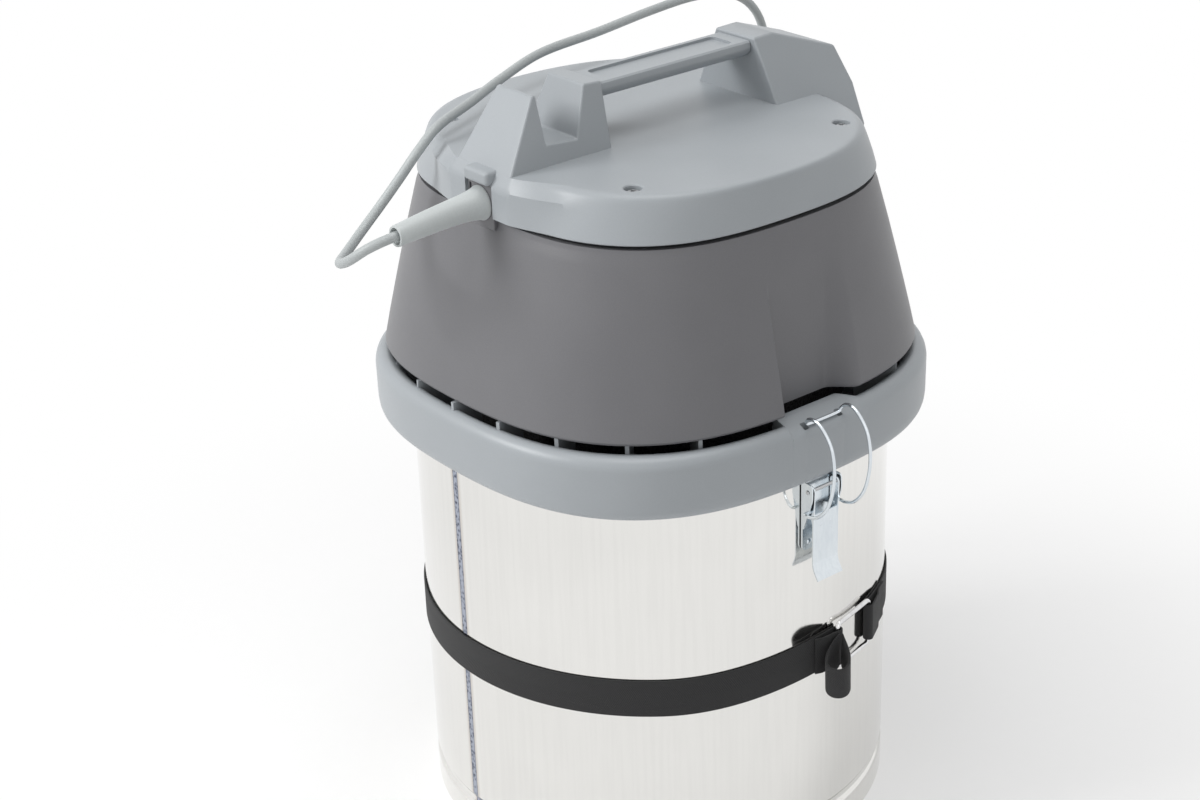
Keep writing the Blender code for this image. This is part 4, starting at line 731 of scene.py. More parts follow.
def latch_lever():
    """Bent sheet with two cheeks round the pin, two beads and a turned-out lip."""
    room = LEVER_HALF - SHEET
    front = 0.0034
    cheek = [(-math.cos(math.radians(a)) * 0.0045, math.sin(math.radians(a)) * 0.0045)
             for a in range(0, 181, 15)]
    cheek += [(front, -0.0272), (front - SHEET, -0.0272), (0.0004, -0.0214), (-0.0042, -0.0199),
              (-0.0045, -0.0164)]
    steps = []
    for side in (-1, 1):
        low, high = sorted((side * room, side * LEVER_HALF))
        steps.append(("UNION", plate_of(cheek, low, high)))
    middle = [Vector((0.0028, 0, -0.0192)), Vector((0.0028, 0, -0.0640)), Vector((0.0085, 0, -0.0735))]
    middle = eased(middle, 0.006, steps=8)
    outer, inner = [], []
    for i, spot in enumerate(middle):
        ahead = (middle[min(i + 1, len(middle) - 1)] - middle[max(i - 1, 0)]).normalized()
        across = Vector((-ahead.z, 0, ahead.x)) * SHEET / 2
        outer.append((spot.x + across.x, spot.z + across.z))
        inner.append((spot.x - across.x, spot.z - across.z))
    blade = plate_of(outer + inner[::-1], -LEVER_HALF, LEVER_HALF)
    beads = []
    for y in (-0.0052, 0.0052):
        ridge = [(0, 0.0015), (0.0006, 0.0012), (0.0009, 0.0005), (0.0010, 0), (0.0010, -0.0245),
                 (0.0009, -0.0250),
                 (0.0006, -0.0257), (0, -0.0260)]
        beads.append(moved(spun(ridge, 20, closed=False), (front - 0.0007, y, -0.0340)))
        dimple = [(0, 0.0004), (0.0008, 0.0003), (0.0012, 0), (0.0012, -0.0010), (0, -0.0010)]
        beads.append(moved(spun(dimple, 20, closed=False), (front, y, -0.0290), QUARTER, "Y"))
    steps.append(("UNION", merged(*beads)))
    steps.append(("DIFFERENCE", moved(bar(0.0018, -0.030, 0.030, 24), angle=QUARTER, axis="X")))
    return soften(carved(blade, *steps), 0.00018, 2, 50)


def latch_pin():
    end, head = 0.0163, 0.0017
    half = [(0, end + 0.0004), (0.0012, end + 0.0003), (head, end - 0.0002), (0.0015, end - 0.0006)]
    profile = half + [(radius, -height) for radius, height in reversed(half)]
    return moved(spun(profile, 32, closed=False), angle=QUARTER, axis="X")


def build_latch(name, side):
    joints = {joint["name"]: Vector(joint["pos_m"]) for joint in frame["joints"] if "pos_m" in joint}
    pin = joints[f"latch_lever_{name}_pivot"]
    turn = 0 if side > 0 else math.pi
    for piece, shape, finish, body, node in (
            ("latch_plate_", latch_base(), ZINC, "container", "latch_base_"),
            ("latch_handle_", latch_lever(), ZINC, "lever_" + name, "latch_lever_"),
            ("latch_axle_", latch_pin(), STEEL, "container", "latch_pin_")):
        fit(piece + name, moved(shape, angle=turn), finish, body, node + name, at=pin)
    pivot = joints[f"latch_wire_{name}_pivot"]
    pivot = Vector((abs(pivot.x), 0, pivot.z - RING.z))
    half = 0.0185
    side_view = [(0.0120, -0.0262), (0.0215, -0.0225), (0.0310, -0.0110), (0.0362, 0.0050), (0.0376, 0.0220),
                 (0.0345, 0.0380), (0.0275, 0.0485), (0.0190, 0.0546), (0.0115, 0.0545)]
    bar_x = RING_RADIUS - RING_CORNER - 0.0038
    half_path = [(pivot.x, 0.0114, pivot.z), (pivot.x, half - 0.0012, pivot.z),
                 (pivot.x + 0.0014, half, pivot.z)]
    half_path += [(TANK_RADIUS + x, half, z) for x, z in side_view]
    half_path += [(bar_x, half - 0.0010, 0.0503), (bar_x, half - 0.0045, 0.0483)]
    path = half_path + [(x, -y, z) for x, y, z in reversed(half_path)]
    path = [RING + Vector((side * x, side * y, z)) for x, y, z in path]
    wire = wire_mesh("loop_wire_" + name, smooth_route(path, 0.0012), 0.00135)
    dress(wire, ZINC, "wire_" + name, "latch_wire_" + name)


# ---- head ring and seals ---------------------------------------------------------------------
RING_RADIUS = 0.2100
RING_CORNER = 0.0091
DECK_Z = 0.0145


NOTCH_SPANS = [(start + turn, start + turn + width, step) for turn in (0, 180)
               for start, width, step in ((-13, 26, 0.5), (-10.2, 1.8, 0.06))]


def build_ring():
    """Head ring with its vent gutter, ribs and the two latch seats."""
    crest, inner, flat = RING_RADIUS - 0.0100, RING_RADIUS - 0.0172, RING_RADIUS - RING_CORNER
    rim = 0.0497
    levels = [
        (0.078, DECK_Z, 0), (inner - 0.0048, DECK_Z, 0.0050), (inner - 0.0013, 0.0361, 0.0066),
        (inner, 0.0421, 0.0066), (inner + 0.0012, rim - 0.0042, 0.0070),
        (inner + 0.0036, rim - 0.0014, 0.0078),
        (crest - 0.0010, rim - 0.0001, 0.0085), (crest + 0.0015, rim, 0.0087),
        (crest + 0.0050, rim - 0.0010, 0.0090), (RING_RADIUS - 0.0022, rim - 0.0034, RING_CORNER),
        (RING_RADIUS - 0.0007, rim - 0.0066, RING_CORNER), (RING_RADIUS, rim - 0.0102, RING_CORNER),
        (RING_RADIUS - 0.0001, 0.0260, RING_CORNER), (RING_RADIUS - 0.0002, 0.0120, RING_CORNER),
        (RING_RADIUS - 0.0008, 0.0066, RING_CORNER),
        (RING_RADIUS - 0.0018, 0.0036, RING_CORNER), (RING_RADIUS - 0.0034, 0.0010, RING_CORNER),
        (RING_RADIUS - 0.0050, 0, RING_CORNER), (0.2024, 0, RING_CORNER),
        (0.2024, DECK_Z - 0.0035, RING_CORNER), (0.078, DECK_Z - 0.0035, 0),
    ]
    seat = {1: (flat - 0.0262, DECK_Z), 2: (flat - 0.0258, 0.0440), 3: (flat - 0.0254, 0.0490),
            4: (flat - 0.0246, 0.0508), 5: (flat - 0.0232, 0.0515), 6: (flat - 0.0190, 0.0516),
            7: (flat - 0.0165, 0.0510), 8: (flat - 0.0090, 0.0480), 9: (flat - 0.0030, 0.0448),
            10: (flat - 0.0010, 0.0422), 11: (flat, 0.0385)}
    outer_wall = range(10, 15)

    def notched(spot, angle, index):
        side = 1 if spot.x > 0 else -1
        along = side * spot.y
        if index in outer_wall:
            groove = 0.0007 * math.exp(-((abs(along) - 0.0187) / 0.0009) ** 2) if abs(spot.x) > 0.15 else 0
            spot -= spot.normalized() * groove
        share = ease((along + 0.0335) / 0.0010) * ease((0.0440 - along) / 0.0120)
        if index in seat and share > 0 and abs(spot.x) > 0.1:
            x, z = seat[index]
            spot = spot.lerp(Vector((side * x, spot.y * x / abs(spot.x) if index < 6 else spot.y, z)), share)
        return spot

    steps = []
    for turn in (0, math.pi):
        for y in (-0.0172, 0.0172):
            pocket = block((flat - 0.0090, y - 0.0024, 0.036), (flat - 0.0030, y + 0.0024, 0.06))
            pocket = soften(pocket, 0.0009)
            steps.append(("DIFFERENCE", moved(pocket, angle=turn)))
    ribs = []
    for angle in range(0, 360, 15):
        if abs(math.cos(math.radians(angle))) > math.cos(math.radians(29)):
            continue
        reach = 0.1985 - 0.0050 * math.cos(4 * math.radians(angle))
        rib = block((0.168, -0.0015, DECK_Z - 0.002), (reach, 0.0015, 0.056 - WALL_LAP))
        ribs.append(moved(rib, angle=math.radians(angle)))
    steps.append(("UNION", merged(*ribs)))
    shape = stack(levels, closed=True, spans=NOTCH_SPANS, reshape=notched)
    fit("latch_ring", carved(shape, *steps), LIGHT_PLASTIC, "head", "head_ring", at=RING)


def build_seals():
    gasket = [(0.1820, 0.0053), (0.1820, 0.0107), (0.1925, 0.0107), (0.1925, 0.0053)]
    fit("rim_seal", soften(spun(gasket, ROUND), 0.0015), RUBBER, "head", "rim_gasket", at=RING)
    low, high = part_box("exhaust_foam")
    sponge = spun([(0.130, low.z), (0.130, high.z), (high.x, high.z), (high.x, low.z)], ROUND)
    foam = fit("exhaust_sponge", soften(sponge, 0.003), FOAM, "head", "exhaust_foam")


# ---- motor housing ---------------------------------------------------------------------------
HOUSING_Z = 0.056
HOUSING_TOP = 0.1935


def housing_levels(inset, low, high):
    """Outlines of the tapering housing from low to high, drawn in by a wall."""
    foot, head, corner, stretch = 0.2005, 0.1668, 0.0088, 0.0055
    shares = [(0.0590, 0.0, 0.0003, 0.0), (0.0800, 0.1425, 0.0004, 0.0006), (0.1000, 0.285, 0.0004, 0.0012),
              (0.1250, 0.4725, 0.0006, 0.0021), (0.1500, 0.66, 0.0006, 0.0030), (0.1850, 0.92, 0.0, 0.0050),
              (0.1890, 0.965, 0.0, stretch)]
    levels = []
    if inset == 0:
        levels += [(foot - 0.0034, low, corner), (foot - 0.0014, low + 0.0006, corner),
                   (foot - 0.0003, low + 0.0018, corner)]
    else:
        levels.append((foot - inset, low, corner))
    levels += [(foot - (foot - head) * share + swell - inset, height, corner, wide)
               for height, share, swell, wide in shares if low < height < high]
    return levels + [(head - inset, high, corner, stretch)]


RECESS_X, RECESS_HALF = 0.1715, 0.031
RECESS_SPANS = [(start + turn, start + turn + width, step) for turn in (0, 180)
                for start, width, step in ((-12, 28, 0.5), (-10.8, 1.8, 0.08))]


def pressed_in(spot, angle, index):
    """The flat above each latch: a crisp side and a soft side that runs out into the wall."""
    side = 1 if spot.x > 0 else -1
    x, y = side * spot.x, side * spot.y
    soft = 0.0010 + 0.0030 * ease((y + 0.020) / 0.045)
    share = min(1.0, max(0.0, 0.5 + 0.5 * (RECESS_X - x) / soft))
    pressed = RECESS_X + (x - RECESS_X) * share - soft * share * (1 - share)
    pressed = min(pressed, x)
    out = max(ease((-y - RECESS_HALF) / 0.0022), ease((y - 0.0245) / 0.0215))
    return Vector((side * (pressed + (x - pressed) * out), side * y, spot.z))


def build_housing():
    levels = filled(housing_levels(0.0, HOUSING_Z, HOUSING_TOP), 0.0045)
    body = stack(levels, spans=RECESS_SPANS, reshape=pressed_in)
    hollow = stack(housing_levels(0.003, HOUSING_Z - 0.004, HOUSING_TOP - 0.0035))
    steps, wall = [], []
    for turn in (0, math.pi):
        behind = block((0.1675, -0.034, HOUSING_Z - 0.02), (0.2215, 0.046, HOUSING_TOP + 0.01))
        wall.append(("DIFFERENCE", moved(behind, angle=turn)))
    steps.append(("DIFFERENCE", carved(hollow, *wall)))
    steps.append(("DIFFERENCE", bar(0.105, HOUSING_TOP - 0.010, HOUSING_TOP + 0.010, 96)))
    tongue = soften(block((-0.0148, -0.1565, 0.1865), (0.0148, -0.1480, 0.2212)), 0.0008)
    steps.append(("UNION", tongue))
    steps.append(("DIFFERENCE", moved(bar(0.0071, 0.13, 0.17), (0, 0, 0.2050), QUARTER, "X")))
    slot = soften(block((-0.0131, -0.160, 0.2096), (-0.0105, -0.1525, 0.2182)), 0.0012)
    steps.append(("DIFFERENCE", slot))
    fit("motor_cover", carved(body, *steps), DARK_PLASTIC, "head", "motor_housing", at=RING)


# ---- lid and handle --------------------------------------------------------------------------
LID_Z, LID_TOP, POST_TOP = 0.1967, 0.2308, 0.2807


def post_half(foot, top):
    """Half width of a post, from its foot's to its top's."""
    return lambda y, z: foot - (foot - top) / (POST_TOP - LID_TOP) * (z - LID_TOP)


def screw_spots():
    turn = math.radians(43.3)
    x, y = 0.150 * math.cos(turn), 0.150 * math.sin(turn)
    return [(x, y, 0), (-x, y, 0), (-x, -y, 0), (x, -y, 0)]


def build_lid():
    """Lid with both handle posts, the tab over the cord and four screws."""
    radius, corner, stretch, wall = 0.1675, 0.0092, 0.0055, 0.003
    foot_y, crest = -0.158, -0.1204
    levels = [
        (radius - 0.0152, LID_TOP, corner - 0.0032, stretch + 0.0041),
        (radius - 0.0138, LID_TOP, corner - 0.0032, stretch + 0.0041),
        (radius - 0.0118, LID_TOP - 0.0002, corner - 0.0031, stretch + 0.0040),
        (radius - 0.0101, LID_TOP - 0.0009, corner - 0.0029, stretch + 0.0038),
        (radius - 0.0087, LID_TOP - 0.0021, corner - 0.0026, stretch + 0.0035),
        (radius - 0.0077, LID_TOP - 0.0037, corner - 0.0023, stretch + 0.0032),
        (radius - 0.0069, LID_TOP - 0.0060, corner - 0.0020, stretch + 0.0028),
        (radius - 0.0058, LID_TOP - 0.0098, corner - 0.0016, stretch + 0.0023),
        (radius - 0.0046, LID_TOP - 0.0140, corner - 0.0013, stretch + 0.0018),
        (radius - 0.0020, LID_TOP - 0.0240, corner - 0.0005, stretch + 0.0007),
        (radius, LID_Z + 0.0009, corner, stretch), (radius - 0.0008, LID_Z, corner, stretch),
        (radius - wall, LID_Z, corner, stretch),
        (radius - wall - 0.0058, LID_TOP - 0.0140, corner - 0.0010, stretch + 0.0017),
        (radius - wall - 0.0085, LID_TOP - 0.0073, corner - 0.0020, stretch + 0.0031),
        (radius - wall - 0.0155, LID_TOP - wall, corner - 0.0032, stretch + 0.0041),
    ]

    def brought_out(spot, angle, index):
        """Brings the wall out to the foot of the front post."""
        if spot.y > -0.1 or index > 11:
            return spot
        climb = min(1.0, max(0.0, (spot.z - 0.2210) / 0.0098))
        aside = max(0.0, abs(spot.x) - 0.034)
        face = foot_y - 0.0003 + 0.0059 * climb + (0.18 + 0.20 * climb) * aside + 4.0 * aside * aside
        share = min(1.0, max(0.0, 0.5 + (face - spot.y) / 0.008))
        return Vector((spot.x, face + (spot.y - face) * share - 0.004 * share * (1 - share), spot.z))

    front = [(foot_y + 0.0030, 0.2080), (foot_y, 0.2210),
             (crest - 0.001, POST_TOP + 0.0012), (crest + 0.0025, POST_TOP + 0.0012),
             (-0.116, 0.2462), (-0.088, 0.2440), (-0.0740, POST_TOP), (-0.0572, POST_TOP - 0.001),
             (-0.0576, LID_TOP - 0.001), (-0.0612, LID_TOP - wall - 0.001), (foot_y + 0.012, 0.2080)]
    rear = [(0.0970, LID_TOP - wall - 0.001), (0.0945, POST_TOP - 0.0010), (0.115, POST_TOP - 0.0005),
            (0.1725, 0.2600), (0.1800, LID_TOP), (0.1790, 0.1990), (0.1510, 0.1990),
            (0.1450, LID_TOP - wall - 0.001)]
    tab = block((-0.0132, -0.1622, 0.2215), (0.0154, foot_y + 0.030, 0.2322))
    steps = [("UNION", soften(slab(front, post_half(0.032, 0.021)), 0.0016)),
             ("UNION", soften(slab(rear, post_half(0.0455, 0.0213)), 0.0018)),
             ("UNION", soften(tab, 0.0032, 5)),
             ("DIFFERENCE", block((-0.016, -0.1755, LID_Z - 0.010), (0.016, -0.138, 0.2215)))]
    well = [(0, LID_TOP + 0.01), (0.0175, LID_TOP + 0.01), (0.0067, LID_TOP - 0.0008),
            (0.0066, LID_TOP - 0.0055), (0, LID_TOP - 0.0055)]
    for spot in screw_spots():
        steps.append(("UNION", moved(bar(0.009, HOUSING_TOP + WALL_LAP, LID_TOP - wall / 2), spot)))
        steps.append(("DIFFERENCE", moved(spun(well, closed=False), spot)))
    low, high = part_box("switch_bezel")
    steps.append(("DIFFERENCE", block(low - RING - Vector((WALL_LAP,) * 3),
                                      high - RING + Vector((WALL_LAP, 0.01, WALL_LAP)))))
    cover = stack(levels, spans=[(235, 305, 0.5)], reshape=brought_out)
    fit("lid_cover", carved(cover, *steps), LIGHT_PLASTIC, "head", "lid", at=RING)
    for index, spot in enumerate(screw_spots()):
        head = LID_TOP - 0.0022
        screw = spun([(0, head), (0.0036, head - 0.0001), (0.0046, head - 0.0008), (0.0048, head - 0.0014),
                      (0.0048, head - 0.0026), (0.0018, head - 0.0027), (0.0018, HOUSING_TOP - 0.006),
                      (0, HOUSING_TOP - 0.006)], closed=False)
        low, high = (-0.0026, -0.00055, head - 0.0014), (0.0026, 0.00055, head + 0.001)
        cross = [("DIFFERENCE", moved(block(low, high), angle=turn + 0.5 * index))
                 for turn in (0, QUARTER)]
        fit(f"lid_bolt_{index + 1}", carved(screw, *cross), STEEL, "head", f"lid_screw_{index + 1}",
            at=RING + Vector(spot))


def build_grip():
    low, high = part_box("handle_grip")
    top, half = high.z - RING.z, high.x
    under = []
    for i in range(17):
        bend = math.pi * i / 16
        under.append((half * math.cos(bend), top - 0.005 - (high.z - low.z - 0.005) * math.sin(bend)))
    outline = [(half - 0.0006, top - 0.0012), (half - 0.0022, top)]
    outline = [(x, z) for x, z in reversed(outline)] + under
    outline += [(-half + 0.0006, top - 0.0012), (-half + 0.0022, top)]
    shape = bmesh.new()
    face = shape.faces.new([shape.verts.new((x, low.y, z)) for x, z in outline])
    made = bmesh.ops.extrude_face_region(shape, geom=[face])["geom"]
    bmesh.ops.translate(shape, vec=(0, high.y - low.y, 0), verts=verts_of(made))
    bmesh.ops.recalc_face_normals(shape, faces=shape.faces)
    channel = block((-0.0125, low.y + 0.012, top - 0.0022), (0.0125, high.y - 0.012, top + 0.01))
    upright = [edge for edge in channel.edges
               if abs((edge.verts[0].co - edge.verts[1].co).normalized().z) > 0.9]
    bmesh.ops.bevel(channel, geom=upright, offset=0.005, offset_type="OFFSET", segments=6, profile=0.5,
                    affect="EDGES", clamp_overlap=True, material=-1)
    fit("carry_grip", carved(shape, ("DIFFERENCE", channel)), LIGHT_PLASTIC, "head", "handle_grip", at=RING)


# ---- switch ----------------------------------------------------------------------------------
def build_switch():
    low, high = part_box("switch_bezel")
    centre = (low + high) / 2
    shell = soften(block(low, high), 0.0012)
    rocker_low, rocker_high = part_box("switch_rocker")
    window = block((rocker_low.x - WALL_LAP, low.y + 0.0015, centre.z - 0.0077),
                   (rocker_high.x + WALL_LAP, high.y + 0.01, centre.z + 0.0077))
    fit("switch_frame", carved(shell, ("DIFFERENCE", soften(window, 0.0010))), BLACK_PLASTIC, "head",
        "switch_bezel")
    front, back = rocker_high.y, rocker_low.y
    half = (rocker_high.z - rocker_low.z) / 2
    outline = [(back, -half * 0.6), (front, -half), (front - 0.0008, -half * 0.5), (front - 0.0012, 0),
               (front - 0.0008, half * 0.5), (front, half), (back, half * 0.6)]
    rocker = slab([(y, centre.z + z) for y, z in outline], lambda y, z: rocker_high.x)
    fit("switch_button", soften(rocker, 0.0007), BLACK_PLASTIC, "rocker", "switch_rocker")


# ---- cord ------------------------------------------------------------------------------------
CORD_RADIUS = 0.00375
# The route has the part's own points. One more, the first, carries the cord into the boot's hollow end.
CORD_ROUTE = [
    (0.000, -0.2268, 0.5347),
    (0.000, -0.2338, 0.5339), (-0.0015, -0.2420, 0.5326), (-0.0085, -0.2530, 0.5270),
    (-0.024, -0.2590, 0.5155), (-0.045, -0.2530, 0.5065), (-0.065, -0.2340, 0.5035),
    (-0.080, -0.2100, 0.5095), (-0.083, -0.1900, 0.5235), (-0.076, -0.1760, 0.5430),
    (-0.070, -0.1600, 0.5640), (-0.073, -0.1390, 0.5770), (-0.093, -0.0940, 0.5805),
    (-0.113, -0.0500, 0.5845), (-0.128, 0.0030, 0.5915), (-0.140, 0.0720, 0.5920),
    (-0.148, 0.1340, 0.5950), (-0.150, 0.1830, 0.5970), (-0.150, 0.2210, 0.5930),
    (-0.150, 0.2500, 0.5775), (-0.150, 0.2660, 0.5500), (-0.151, 0.2730, 0.5030),
    (-0.153, 0.2750, 0.3900), (-0.157, 0.2790, 0.2500), (-0.163, 0.2850, 0.1500),
    (-0.171, 0.2890, 0.0950), (-0.184, 0.2870, 0.0620), (-0.203, 0.2760, 0.0450),
    (-0.222, 0.2590, 0.0385), (-0.246, 0.2360, 0.0376)]


def coil_points(centre, start_angle, top_z):
    """Turns from the coil's top to the outer end of its lowest layer, a cord apart each way."""
    pitch = 2 * CORD_RADIUS + 0.0002
    inner, outer = 0.0398, 0.0639
    floor_z = CORD_RADIUS
    layers = [floor_z + pitch * k for k in (3, 2, 1, 0)]
    angle, radius, z = start_angle, outer - 0.0005, top_z
    points = []

    def put():
        points.append(Vector((centre.x + radius * math.cos(angle), centre.y + radius * math.sin(angle), z)))

    step = math.radians(12)
    put()
    for _ in range(18):
        angle += step
        radius -= (outer - 0.0005 - inner) / 18
        put()
    for index, level in enumerate(layers):
        start_z = z
        for i in range(1, 10):
            t = i / 9
            angle += step
            z = start_z + (level - start_z) * t * t * (3 - 2 * t)
            put()
        target = outer if index % 2 == 0 else inner
        count = round(abs(target - radius) / pitch * 30)
        start_radius = radius
        for i in range(1, count + 1):
            angle += step
            radius = start_radius + (target - start_radius) * i / count
            put()
    return points, angle, radius, z


def build_cord():
    """One cord from the boot through its coil on the floor to the plug."""
    low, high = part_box("cord_coil")
    centre = (low + high) / 2
    points, angle, radius, z = coil_points(centre, math.radians(135), 0.0376)
    tail = 215.0
    plug_angle = math.radians(tail)
    while plug_angle < angle + 0.6:
        plug_angle += math.tau
    outer = high.x - centre.x - CORD_RADIUS
    plug_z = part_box("plug_body")[0].z + 0.018
    start_angle, start_radius, start_z = angle, radius, z
    count = max(8, round((plug_angle - start_angle) / math.radians(10)))
    for i in range(1, count + 1):
        t = i / count
        soft = t * t * (3 - 2 * t)
        now = start_angle + (plug_angle - start_angle) * t
        wide = start_radius + (outer + 0.0082 - start_radius) * min(1.0, 2 * t)
        points.append(Vector((centre.x + wide * math.cos(now), centre.y + wide * math.sin(now),
                              start_z + (plug_z - start_z) * soft)))
    line = smooth_route(CORD_ROUTE[:-1] + points, 0.006)
    cord = wire_mesh("mains_cord", line, CORD_RADIUS, fineness=4)
    cord.data.materials.append(CORD_GREY.material)
    cord.data.shade_smooth()
    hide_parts("cord_tube", "cord_coil")
    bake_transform(cord)
    turn = math.radians(40)
    outward = Vector((math.cos(turn), math.sin(turn), 0))
    tangent = Vector((-math.sin(turn), math.cos(turn), 0))
    wrap = eased([(0.0345, 0.0006, 0), (0.0692, 0.0006, 0), (0.0692, 0.0392, 0), (0.0345, 0.0392, 0)], 0.006,
                 closed=True, steps=5)
    wrap = [centre - UP * centre.z + outward * p.x + UP * p.y - tangent * 0.006 for p in wrap]
    tie = ribbon(wrap + wrap[:2], 0.012, 0.0010, [tangent] * (len(wrap) + 2))
    add_mesh("coil_tie", tie, WEBBING, "container")
    ahead = (line[-1] - line[-2]).normalized()
    build_plug(line[-1] - ahead * 0.002, math.atan2(ahead.y, ahead.x))
    length = sum((b - a).length for a, b in zip(line, line[1:]))


def build_relief():
    """Soft trumpet with a hollow end; it sags a little towards its end."""
    face, end, neck = 0.1568, 0.2330, 0.0068
    span = end - face
    profile = [(0, 0.1440), (neck + 0.0030, 0.1440), (neck + 0.0030, 0.1477), (neck, 0.1477), (neck, face),
               (0.0132, face), (0.0133, face + 0.0008), (0.0128, face + 0.0020), (0.0119, face + 0.0050),
               (0.0111, face + 0.0095), (0.0104, face + 0.0160), (0.0099, face + 0.0250),
               (0.0094, face + 0.0380),
               (0.0088, face + 0.0540), (0.0083, face + 0.0680), (0.0081, end - 0.0010), (0.0077, end),
               (0.0064, end), (0.0059, end - 0.0008), (0.0057, end - 0.0065), (0, end - 0.0065)]
    shape = spun(profile, 64, closed=False)
    for vert in shape.verts:
        vert.co.y -= 0.006 * max(0.0, (vert.co.z - face) / span) ** 1.5
    fit("cord_boot", moved(shape, angle=QUARTER, axis="X"), BOOT_GREY, "head", "strain_relief",
        at=RING + Vector((0, 0, 0.2050)))


def build_plug(place, heading):
    """Round mains plug with a ribbed neck; it lies along its heading, drawn from its cord's end."""
    body = [(0, 0.0002), (0.0052, 0), (0.0056, 0.0006)]
    for i in range(5):
        low = 0.0022 + 0.0054 * i
        radius = 0.0058 + 0.0004 * i
        body += [(radius, low), (radius + 0.0008, low + 0.0008), (radius + 0.0008, low + 0.0030),
                 (radius, low + 0.0038)]
    body += [(0.0080, 0.0310), (0.0100, 0.0345), (0.0138, 0.0385), (0.0168, 0.0425), (0.0178, 0.0465),
             (0.0180, 0.0500), (0.0180, 0.0670), (0.0177, 0.0686), (0.0168, 0.0697), (0.0155, 0.0700),
             (0.0150, 0.0697), (0.0148, 0.0688), (0, 0.0688)]
    shape = spun(body, 96, closed=False)
    for vert in shape.verts:
        if 0.047 < vert.co.z < 0.068:
            flute = 0.5 + 0.5 * math.cos(24 * math.atan2(vert.co.y, vert.co.x))
            vert.co.xy *= 1 - 0.030 * flute
    pins = []
    for x in (-0.0095, 0.0095):
        pin = [(0, 0.0640), (0.0024, 0.0640), (0.0024, 0.0875), (0.0019, 0.0888), (0.0010, 0.0893),
               (0, 0.0893)]
        pins.append(moved(spun(pin, 32, closed=False), (x, 0, 0)))
    turn = Matrix.Translation(place) @ Matrix.Rotation(heading, 4, "Z") @ Matrix.Rotation(QUARTER, 4, "Y") \
        @ Matrix.Rotation(QUARTER, 4, "Z")
    for name, part, finish, nodes in (
            ("mains_plug", shape, CORD_GREY, ["plug_body"]),
            ("mains_pins", merged(*pins), STEEL, ["plug_pin_left", "plug_pin_right"])):
        bmesh.ops.transform(part, matrix=turn, verts=part.verts)
        fit(name, part, finish, "container", *nodes)


def build_filter():
    """Filter plate, pleated cartridge with its cap, and the float."""
    floor = -0.0165
    plate = [(0.100, 0.0107), (0.100, 0.0077), (0.074, 0.0077), (0.074, floor + 0.003),
             (0.088, floor + 0.003),
             (0.088, floor), (0.030, floor), (0.030, floor + 0.003), (0.071, floor + 0.003), (0.071, 0.0107)]
    plate = rounded_outline(plate, 0.0009, 3)
    fit("filter_carrier", spun(plate, 144), BLACK_PLASTIC, "head", "filter_plate", at=RING)
    low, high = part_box("filter_cartridge")
    top, bottom, core = high.z, low.z, 0.0503
    levels = [(core, top, 0), (0.0850, top, 0), (0.0850, top - 0.004, 0), (0.0850, bottom + 0.004, 0),
              (0.0850, bottom, 0), (core, bottom, 0)]

    def pleated(spot, angle, index):
        if index in (2, 3):
            fold = abs((angle / math.tau * 72) % 1 - 0.5) * 2
            spot.xy *= 1 - 0.105 * (1 - fold)
        elif index in (1, 4):
            spot.xy *= 0.992
        return spot

    pleats = stack(levels, closed=True, reshape=pleated, sides=432)
    fit("pleated_filter", pleats, PLEATS, "head", "filter_cartridge", sharp=20)
    low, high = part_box("filter_cap")
    cap = [(0, high.z), (0.0868, high.z), (0.0880, high.z - 0.0010), (0.0880, low.z + 0.0025),
           (0.0872, low.z + 0.0008),
           (0.0855, low.z), (0.0780, low.z), (0.0765, low.z + 0.0022), (0.0300, low.z + 0.0022),
           (0.0285, low.z),
           (0, low.z)]
    ribs = []
    for i in range(6):
        rib = block((0.0280, -0.0012, low.z + 0.0002), (0.0780, 0.0012, low.z + 0.0030))
        ribs.append(moved(rib, angle=math.tau * i / 6))
    end_cap = carved(spun(cap, 144, closed=False), ("UNION", merged(*ribs)))
    fit("filter_end_cap", end_cap, BLACK_PLASTIC, "head",
        "filter_cap")
    low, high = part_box("float_ball")
    centre, radius = (low + high) / 2, (high.z - low.z) / 2
    ball = [(radius * math.sin(math.pi * i / 32), radius * math.cos(math.pi * i / 32)) for i in range(33)]
    ball[0], ball[-1] = (0, radius), (0, -radius)
    ball[16:17] = [(radius - 0.0003, 0.0009), (radius, 0.0004), (radius, -0.0004), (radius - 0.0003, -0.0009)]
    fit("float_shell", spun(ball, 64, closed=False), LIGHT_PLASTIC, "float", "float_ball", at=centre)


def dress_frame():
    """Materials of the CAD nodes that stay."""
    finishes = {
        SHEET_STEEL: ["tank_floor", "fan_casing"],
        STEEL: ["motor_can", "bearing_lower", "bearing_upper", "rotor_shaft"],
        BLACK_PLASTIC: ["inlet_deflector", "motor_bracket", "carbon_brush_left", "carbon_brush_right",
                        "impeller", "filter_cage"],
        RUBBER: ["motor_gasket"], COPPER: ["armature", "commutator"],
    }
    for finish, names in finishes.items():
        for name in names:
            frame["nodes"][name].data.materials.clear()
            frame["nodes"][name].data.materials.append(finish.material)


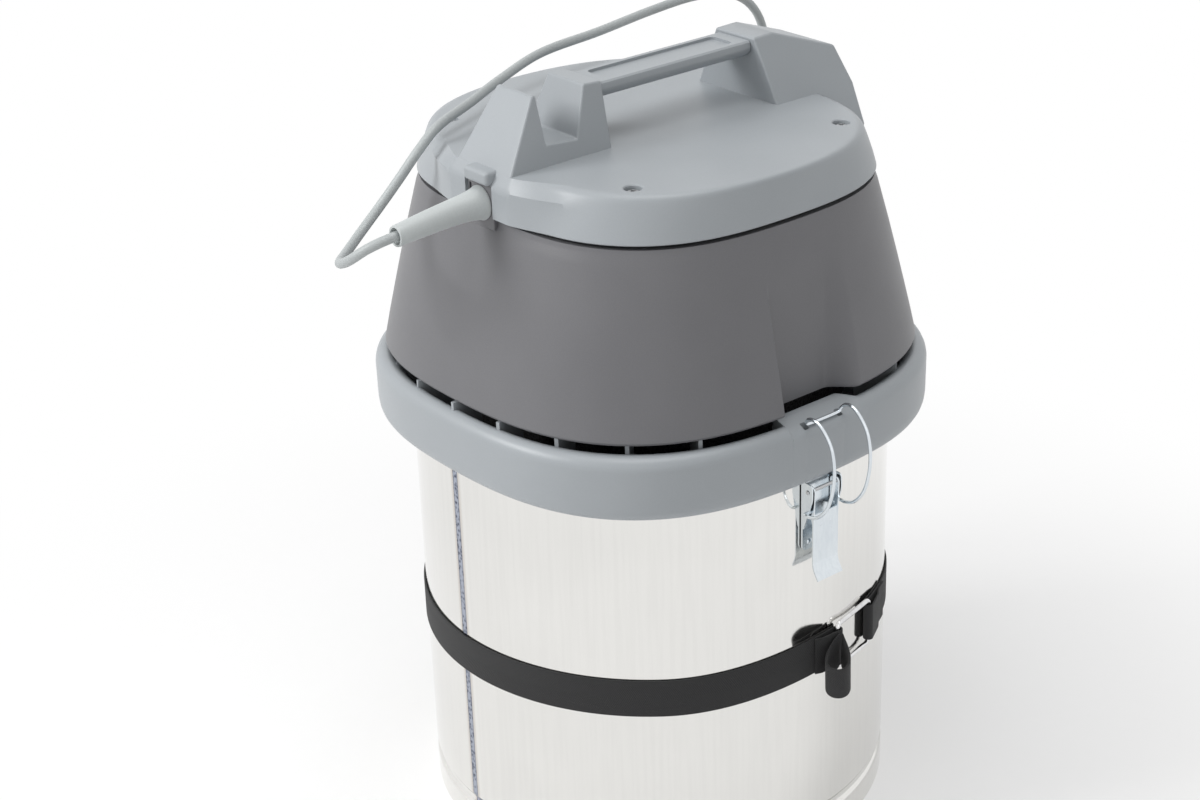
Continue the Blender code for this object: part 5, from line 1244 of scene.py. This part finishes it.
# ---- studio ----------------------------------------------------------------------------------
def build_studio():
    """White paper floor that keeps a soft shadow, three lamps and a white world."""
    floor = soften(block((-6, -6, -0.02), (6, 6, 0)), 0.001, 1)
    ground = as_object("studio_floor", floor)
    paper = Finish("studio_paper", rgb(250, 250, 250), 0.9)
    grain = paper.noise(60.0)
    paper.set("Base Color", paper.mix(grain, rgb(249, 249, 249), rgb(251, 251, 251)))
    away = paper.node("ShaderNodeVectorMath", {"operation": "LENGTH"}, {0: paper.place}, output="Value")
    seen = paper.node("ShaderNodeLightPath", output="Is Camera Ray").math(
        "MAXIMUM", paper.node("ShaderNodeLightPath", output="Is Glossy Ray"))
    white = paper.node("ShaderNodeEmission", None, {"Color": (1, 1, 1, 1), "Strength": 1.0})
    lit = Value(paper, paper.shader.outputs[0])
    share = seen * away.step(0.22, 0.85, 0.28, 1.0)
    both = paper.node("ShaderNodeMixShader", None, {0: share, 1: lit, 2: white})
    paper.tree.links.new(both.socket, paper.tree.nodes["Material Output"].inputs["Surface"])
    ground.data.materials.append(paper.material)
    world = bpy.data.worlds.new("studio_world")
    bpy.context.scene.world = world
    world.use_nodes = True
    tree = world.node_tree
    tree.nodes.clear()
    rays = tree.nodes.new("ShaderNodeLightPath")
    seen = tree.nodes.new("ShaderNodeMath")
    seen.operation = "MAXIMUM"
    tree.links.new(rays.outputs["Is Camera Ray"], seen.inputs[0])
    tree.links.new(rays.outputs["Is Glossy Ray"], seen.inputs[1])
    soft, white = tree.nodes.new("ShaderNodeBackground"), tree.nodes.new("ShaderNodeBackground")
    soft.inputs["Strength"].default_value = 0.40
    white.inputs["Color"].default_value = (1, 1, 1, 1)
    white.inputs["Strength"].default_value = 1.0
    soft.inputs["Color"].default_value = (1, 1, 1, 1)
    both = tree.nodes.new("ShaderNodeMixShader")
    tree.links.new(seen.outputs[0], both.inputs[0])
    tree.links.new(soft.outputs[0], both.inputs[1])
    tree.links.new(white.outputs[0], both.inputs[2])
    output = tree.nodes.new("ShaderNodeOutputWorld")
    tree.links.new(both.outputs[0], output.inputs[0])
    for name, place, aim, size, power in (
            ("key", (-1.1, -2.3, 2.0), (0, 0, 0.35), 1.2, 50),
            ("fill", (2.6, -1.2, 1.6), (0, 0, 0.35), 2.0, 5),
            ("top", (0.2, -0.1, 3.0), (0, 0, 0.4), 1.6, 26)):
        lamp = bpy.data.lights.new(name, "AREA")
        lamp.size = size
        lamp.energy = power
        stand = bpy.data.objects.new(name, lamp)
        stand.location = place
        stand.rotation_euler = (Vector(aim) - Vector(place)).to_track_quat("-Z", "Y").to_euler()
        bpy.context.scene.collection.objects.link(stand)


def build_camera():
    forward = Vector((-0.7067, 0.5653, -0.4253)).normalized()
    right = forward.cross(Vector((-0.3098, 0.2931, 0.9045))).normalized()
    upward = right.cross(forward)
    camera = bpy.data.cameras.new("camera")
    camera.lens = 69.1
    camera.sensor_width = 36
    camera.clip_start = 0.05
    eye = bpy.data.objects.new("camera", camera)
    eye.matrix_world = Matrix((right, upward, -forward)).transposed().to_4x4()
    eye.location = (1.2855, -1.0803, 1.1206)
    bpy.context.scene.collection.objects.link(eye)
    bpy.context.scene.camera = eye


build_studio()
build_camera()
dress_frame()
build_tank()
build_inlet()
build_strap()
build_latch("right", 1)
build_latch("left", -1)
build_ring()
build_seals()
build_housing()
build_lid()
build_grip()
build_switch()
build_relief()
build_cord()
build_filter()
bpy.context.scene.view_settings.view_transform = "Standard"
